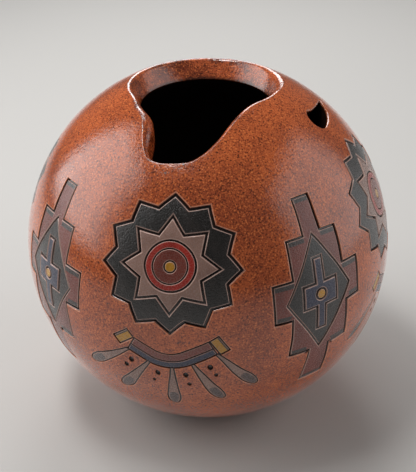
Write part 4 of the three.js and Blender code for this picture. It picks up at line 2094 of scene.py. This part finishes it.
@dataclass
class Studio:
    """Pale floor, soft boxes at the sides, behind and overhead, and an even glow all round.

    Attributes:
        floor_radius: Radius of the floor in metres.
        floor_colour: Colour of the floor as the camera sees it.
        floor_bounce: Colour of the floor in the light that it gives back to the pot.
        floor_roughness: Roughness of the floor.
        glow: Colour of the glow.
        glow_strength: Strength of the glow.
        lamps: Soft boxes round the pot.
    """

    floor_radius: float = 12.0
    floor_colour: str = "#b6b4b1"
    floor_bounce: str = "#d6d4d2"
    floor_roughness: float = 0.9
    glow: str = "#ffffff"
    glow_strength: float = 0.13
    lamps: tuple[SoftBox, ...] = (
        SoftBox(
            "left_panel",
            way=(-0.788, -0.153, 0.585),
            distance=0.7,
            width=0.78,
            height=0.78,
            power=6.7,
            upright=True,
            fade=(0.0, 0.45, 0.09, 0.0),
        ),
        SoftBox(
            "right_panel",
            way=(0.87, 0.12, 0.47),
            distance=0.7,
            width=1.0,
            height=0.86,
            power=4.3,
            upright=True,
            fade=(0.22, 0.3, 0.05, 0.2),
        ),
        SoftBox("back_box", way=(-0.16, 0.85, 0.5), distance=0.7, width=0.24, height=0.22, power=1.3),
        SoftBox(
            "rear_overhead_strip",
            way=(-0.13, 0.5, 0.857),
            distance=0.75,
            width=0.44,
            height=0.14,
            power=1.2,
        ),
        SoftBox(
            "front_overhead_strip",
            way=(-0.25, -0.05, 0.97),
            distance=0.67,
            width=0.3,
            height=0.12,
            power=2.3,
        ),
    )

    # Sides of the floor
    FLOOR_SIDES = 96

    def build(self) -> None:
        """Sets up the studio."""
        floor = bmesh.new()
        bmesh.ops.create_circle(floor, cap_ends=True, segments=self.FLOOR_SIDES, radius=self.floor_radius)
        mesh = mesh_of("floor", floor)
        made = new_object("floor", mesh)
        material = bpy.data.materials.new("paper_floor")
        material.use_nodes = True
        tree = material.node_tree
        seen = add(tree, "ShaderNodeLightPath", {}).outputs["Is Camera Ray"]
        colours = {0: seen, 6: linear(self.floor_bounce), 7: linear(self.floor_colour)}
        paper = add(tree, "ShaderNodeMix", colours, data_type="RGBA").outputs[2]
        feed(tree.nodes["Principled BSDF"], {"Base Color": paper, "Roughness": self.floor_roughness})
        mesh.materials.append(material)
        world = bpy.data.worlds.new("studio")
        world.use_nodes = True
        background = {"Color": linear(self.glow), "Strength": self.glow_strength}
        feed(world.node_tree.nodes["Background"], background)
        bpy.context.scene.world = world
        for lamp in self.lamps:
            lamp.build()
        bpy.context.scene.view_settings.view_transform = "Standard"


@dataclass
class PhotoCamera:
    """Camera at the photograph's viewing angle.

    Attributes:
        azimuth: Angle from the front towards +X.
        elevation: Angle above the floor.
        distance: Distance from the pot's centre.
        focal_pixels: Focal length in pixels of the frame.
        frame_width: Width of the frame in pixels.
        frame_height: Height of the frame in pixels.
        roll: Turn of the frame about the view.
        drop_pixels: How far the pot's centre lies under the frame's middle.
    """

    azimuth: float = 11.4
    elevation: float = 30.02
    distance: float = 406.0
    focal_pixels: float = 1028.4
    frame_width: int = 416
    frame_height: int = 472
    roll: float = -1.73
    drop_pixels: float = 1.2

    # In metres, how near and how far the camera sees
    NEAREST = 0.01
    FURTHEST = 50.0

    def build(self) -> None:
        """Sets up the camera."""
        camera = bpy.data.cameras.new("photo_camera")
        longest = max(self.frame_width, self.frame_height)
        camera.lens = self.focal_pixels / longest * camera.sensor_width
        camera.shift_y = self.drop_pixels / longest
        camera.clip_start = self.NEAREST
        camera.clip_end = self.FURTHEST
        made = new_object("photo_camera", camera)
        around = math.radians(self.azimuth)
        above = math.radians(self.elevation)
        level = math.cos(above)
        back = Vector((math.sin(around) * level, -math.cos(around) * level, math.sin(above)))
        made.location = POT.centre + back * (self.distance * MM)
        made.rotation_mode = "QUATERNION"
        aim = (-back).to_track_quat("-Z", "Y")
        made.rotation_quaternion = aim @ Quaternion((0.0, 0.0, 1.0), math.radians(self.roll))
        bpy.context.scene.camera = made


def main() -> None:
    """Builds the pot, the studio and the camera."""
    logging.basicConfig(level=logging.INFO, format="%(name)s: %(message)s")
    noise.seed_set(STRAY_SEED)
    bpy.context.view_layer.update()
    pot = SeedPot(Palette())
    pot.build_shell()
    pot.build_slip()
    Studio().build()
    PhotoCamera().build()


if __name__ == "__main__":
    main()
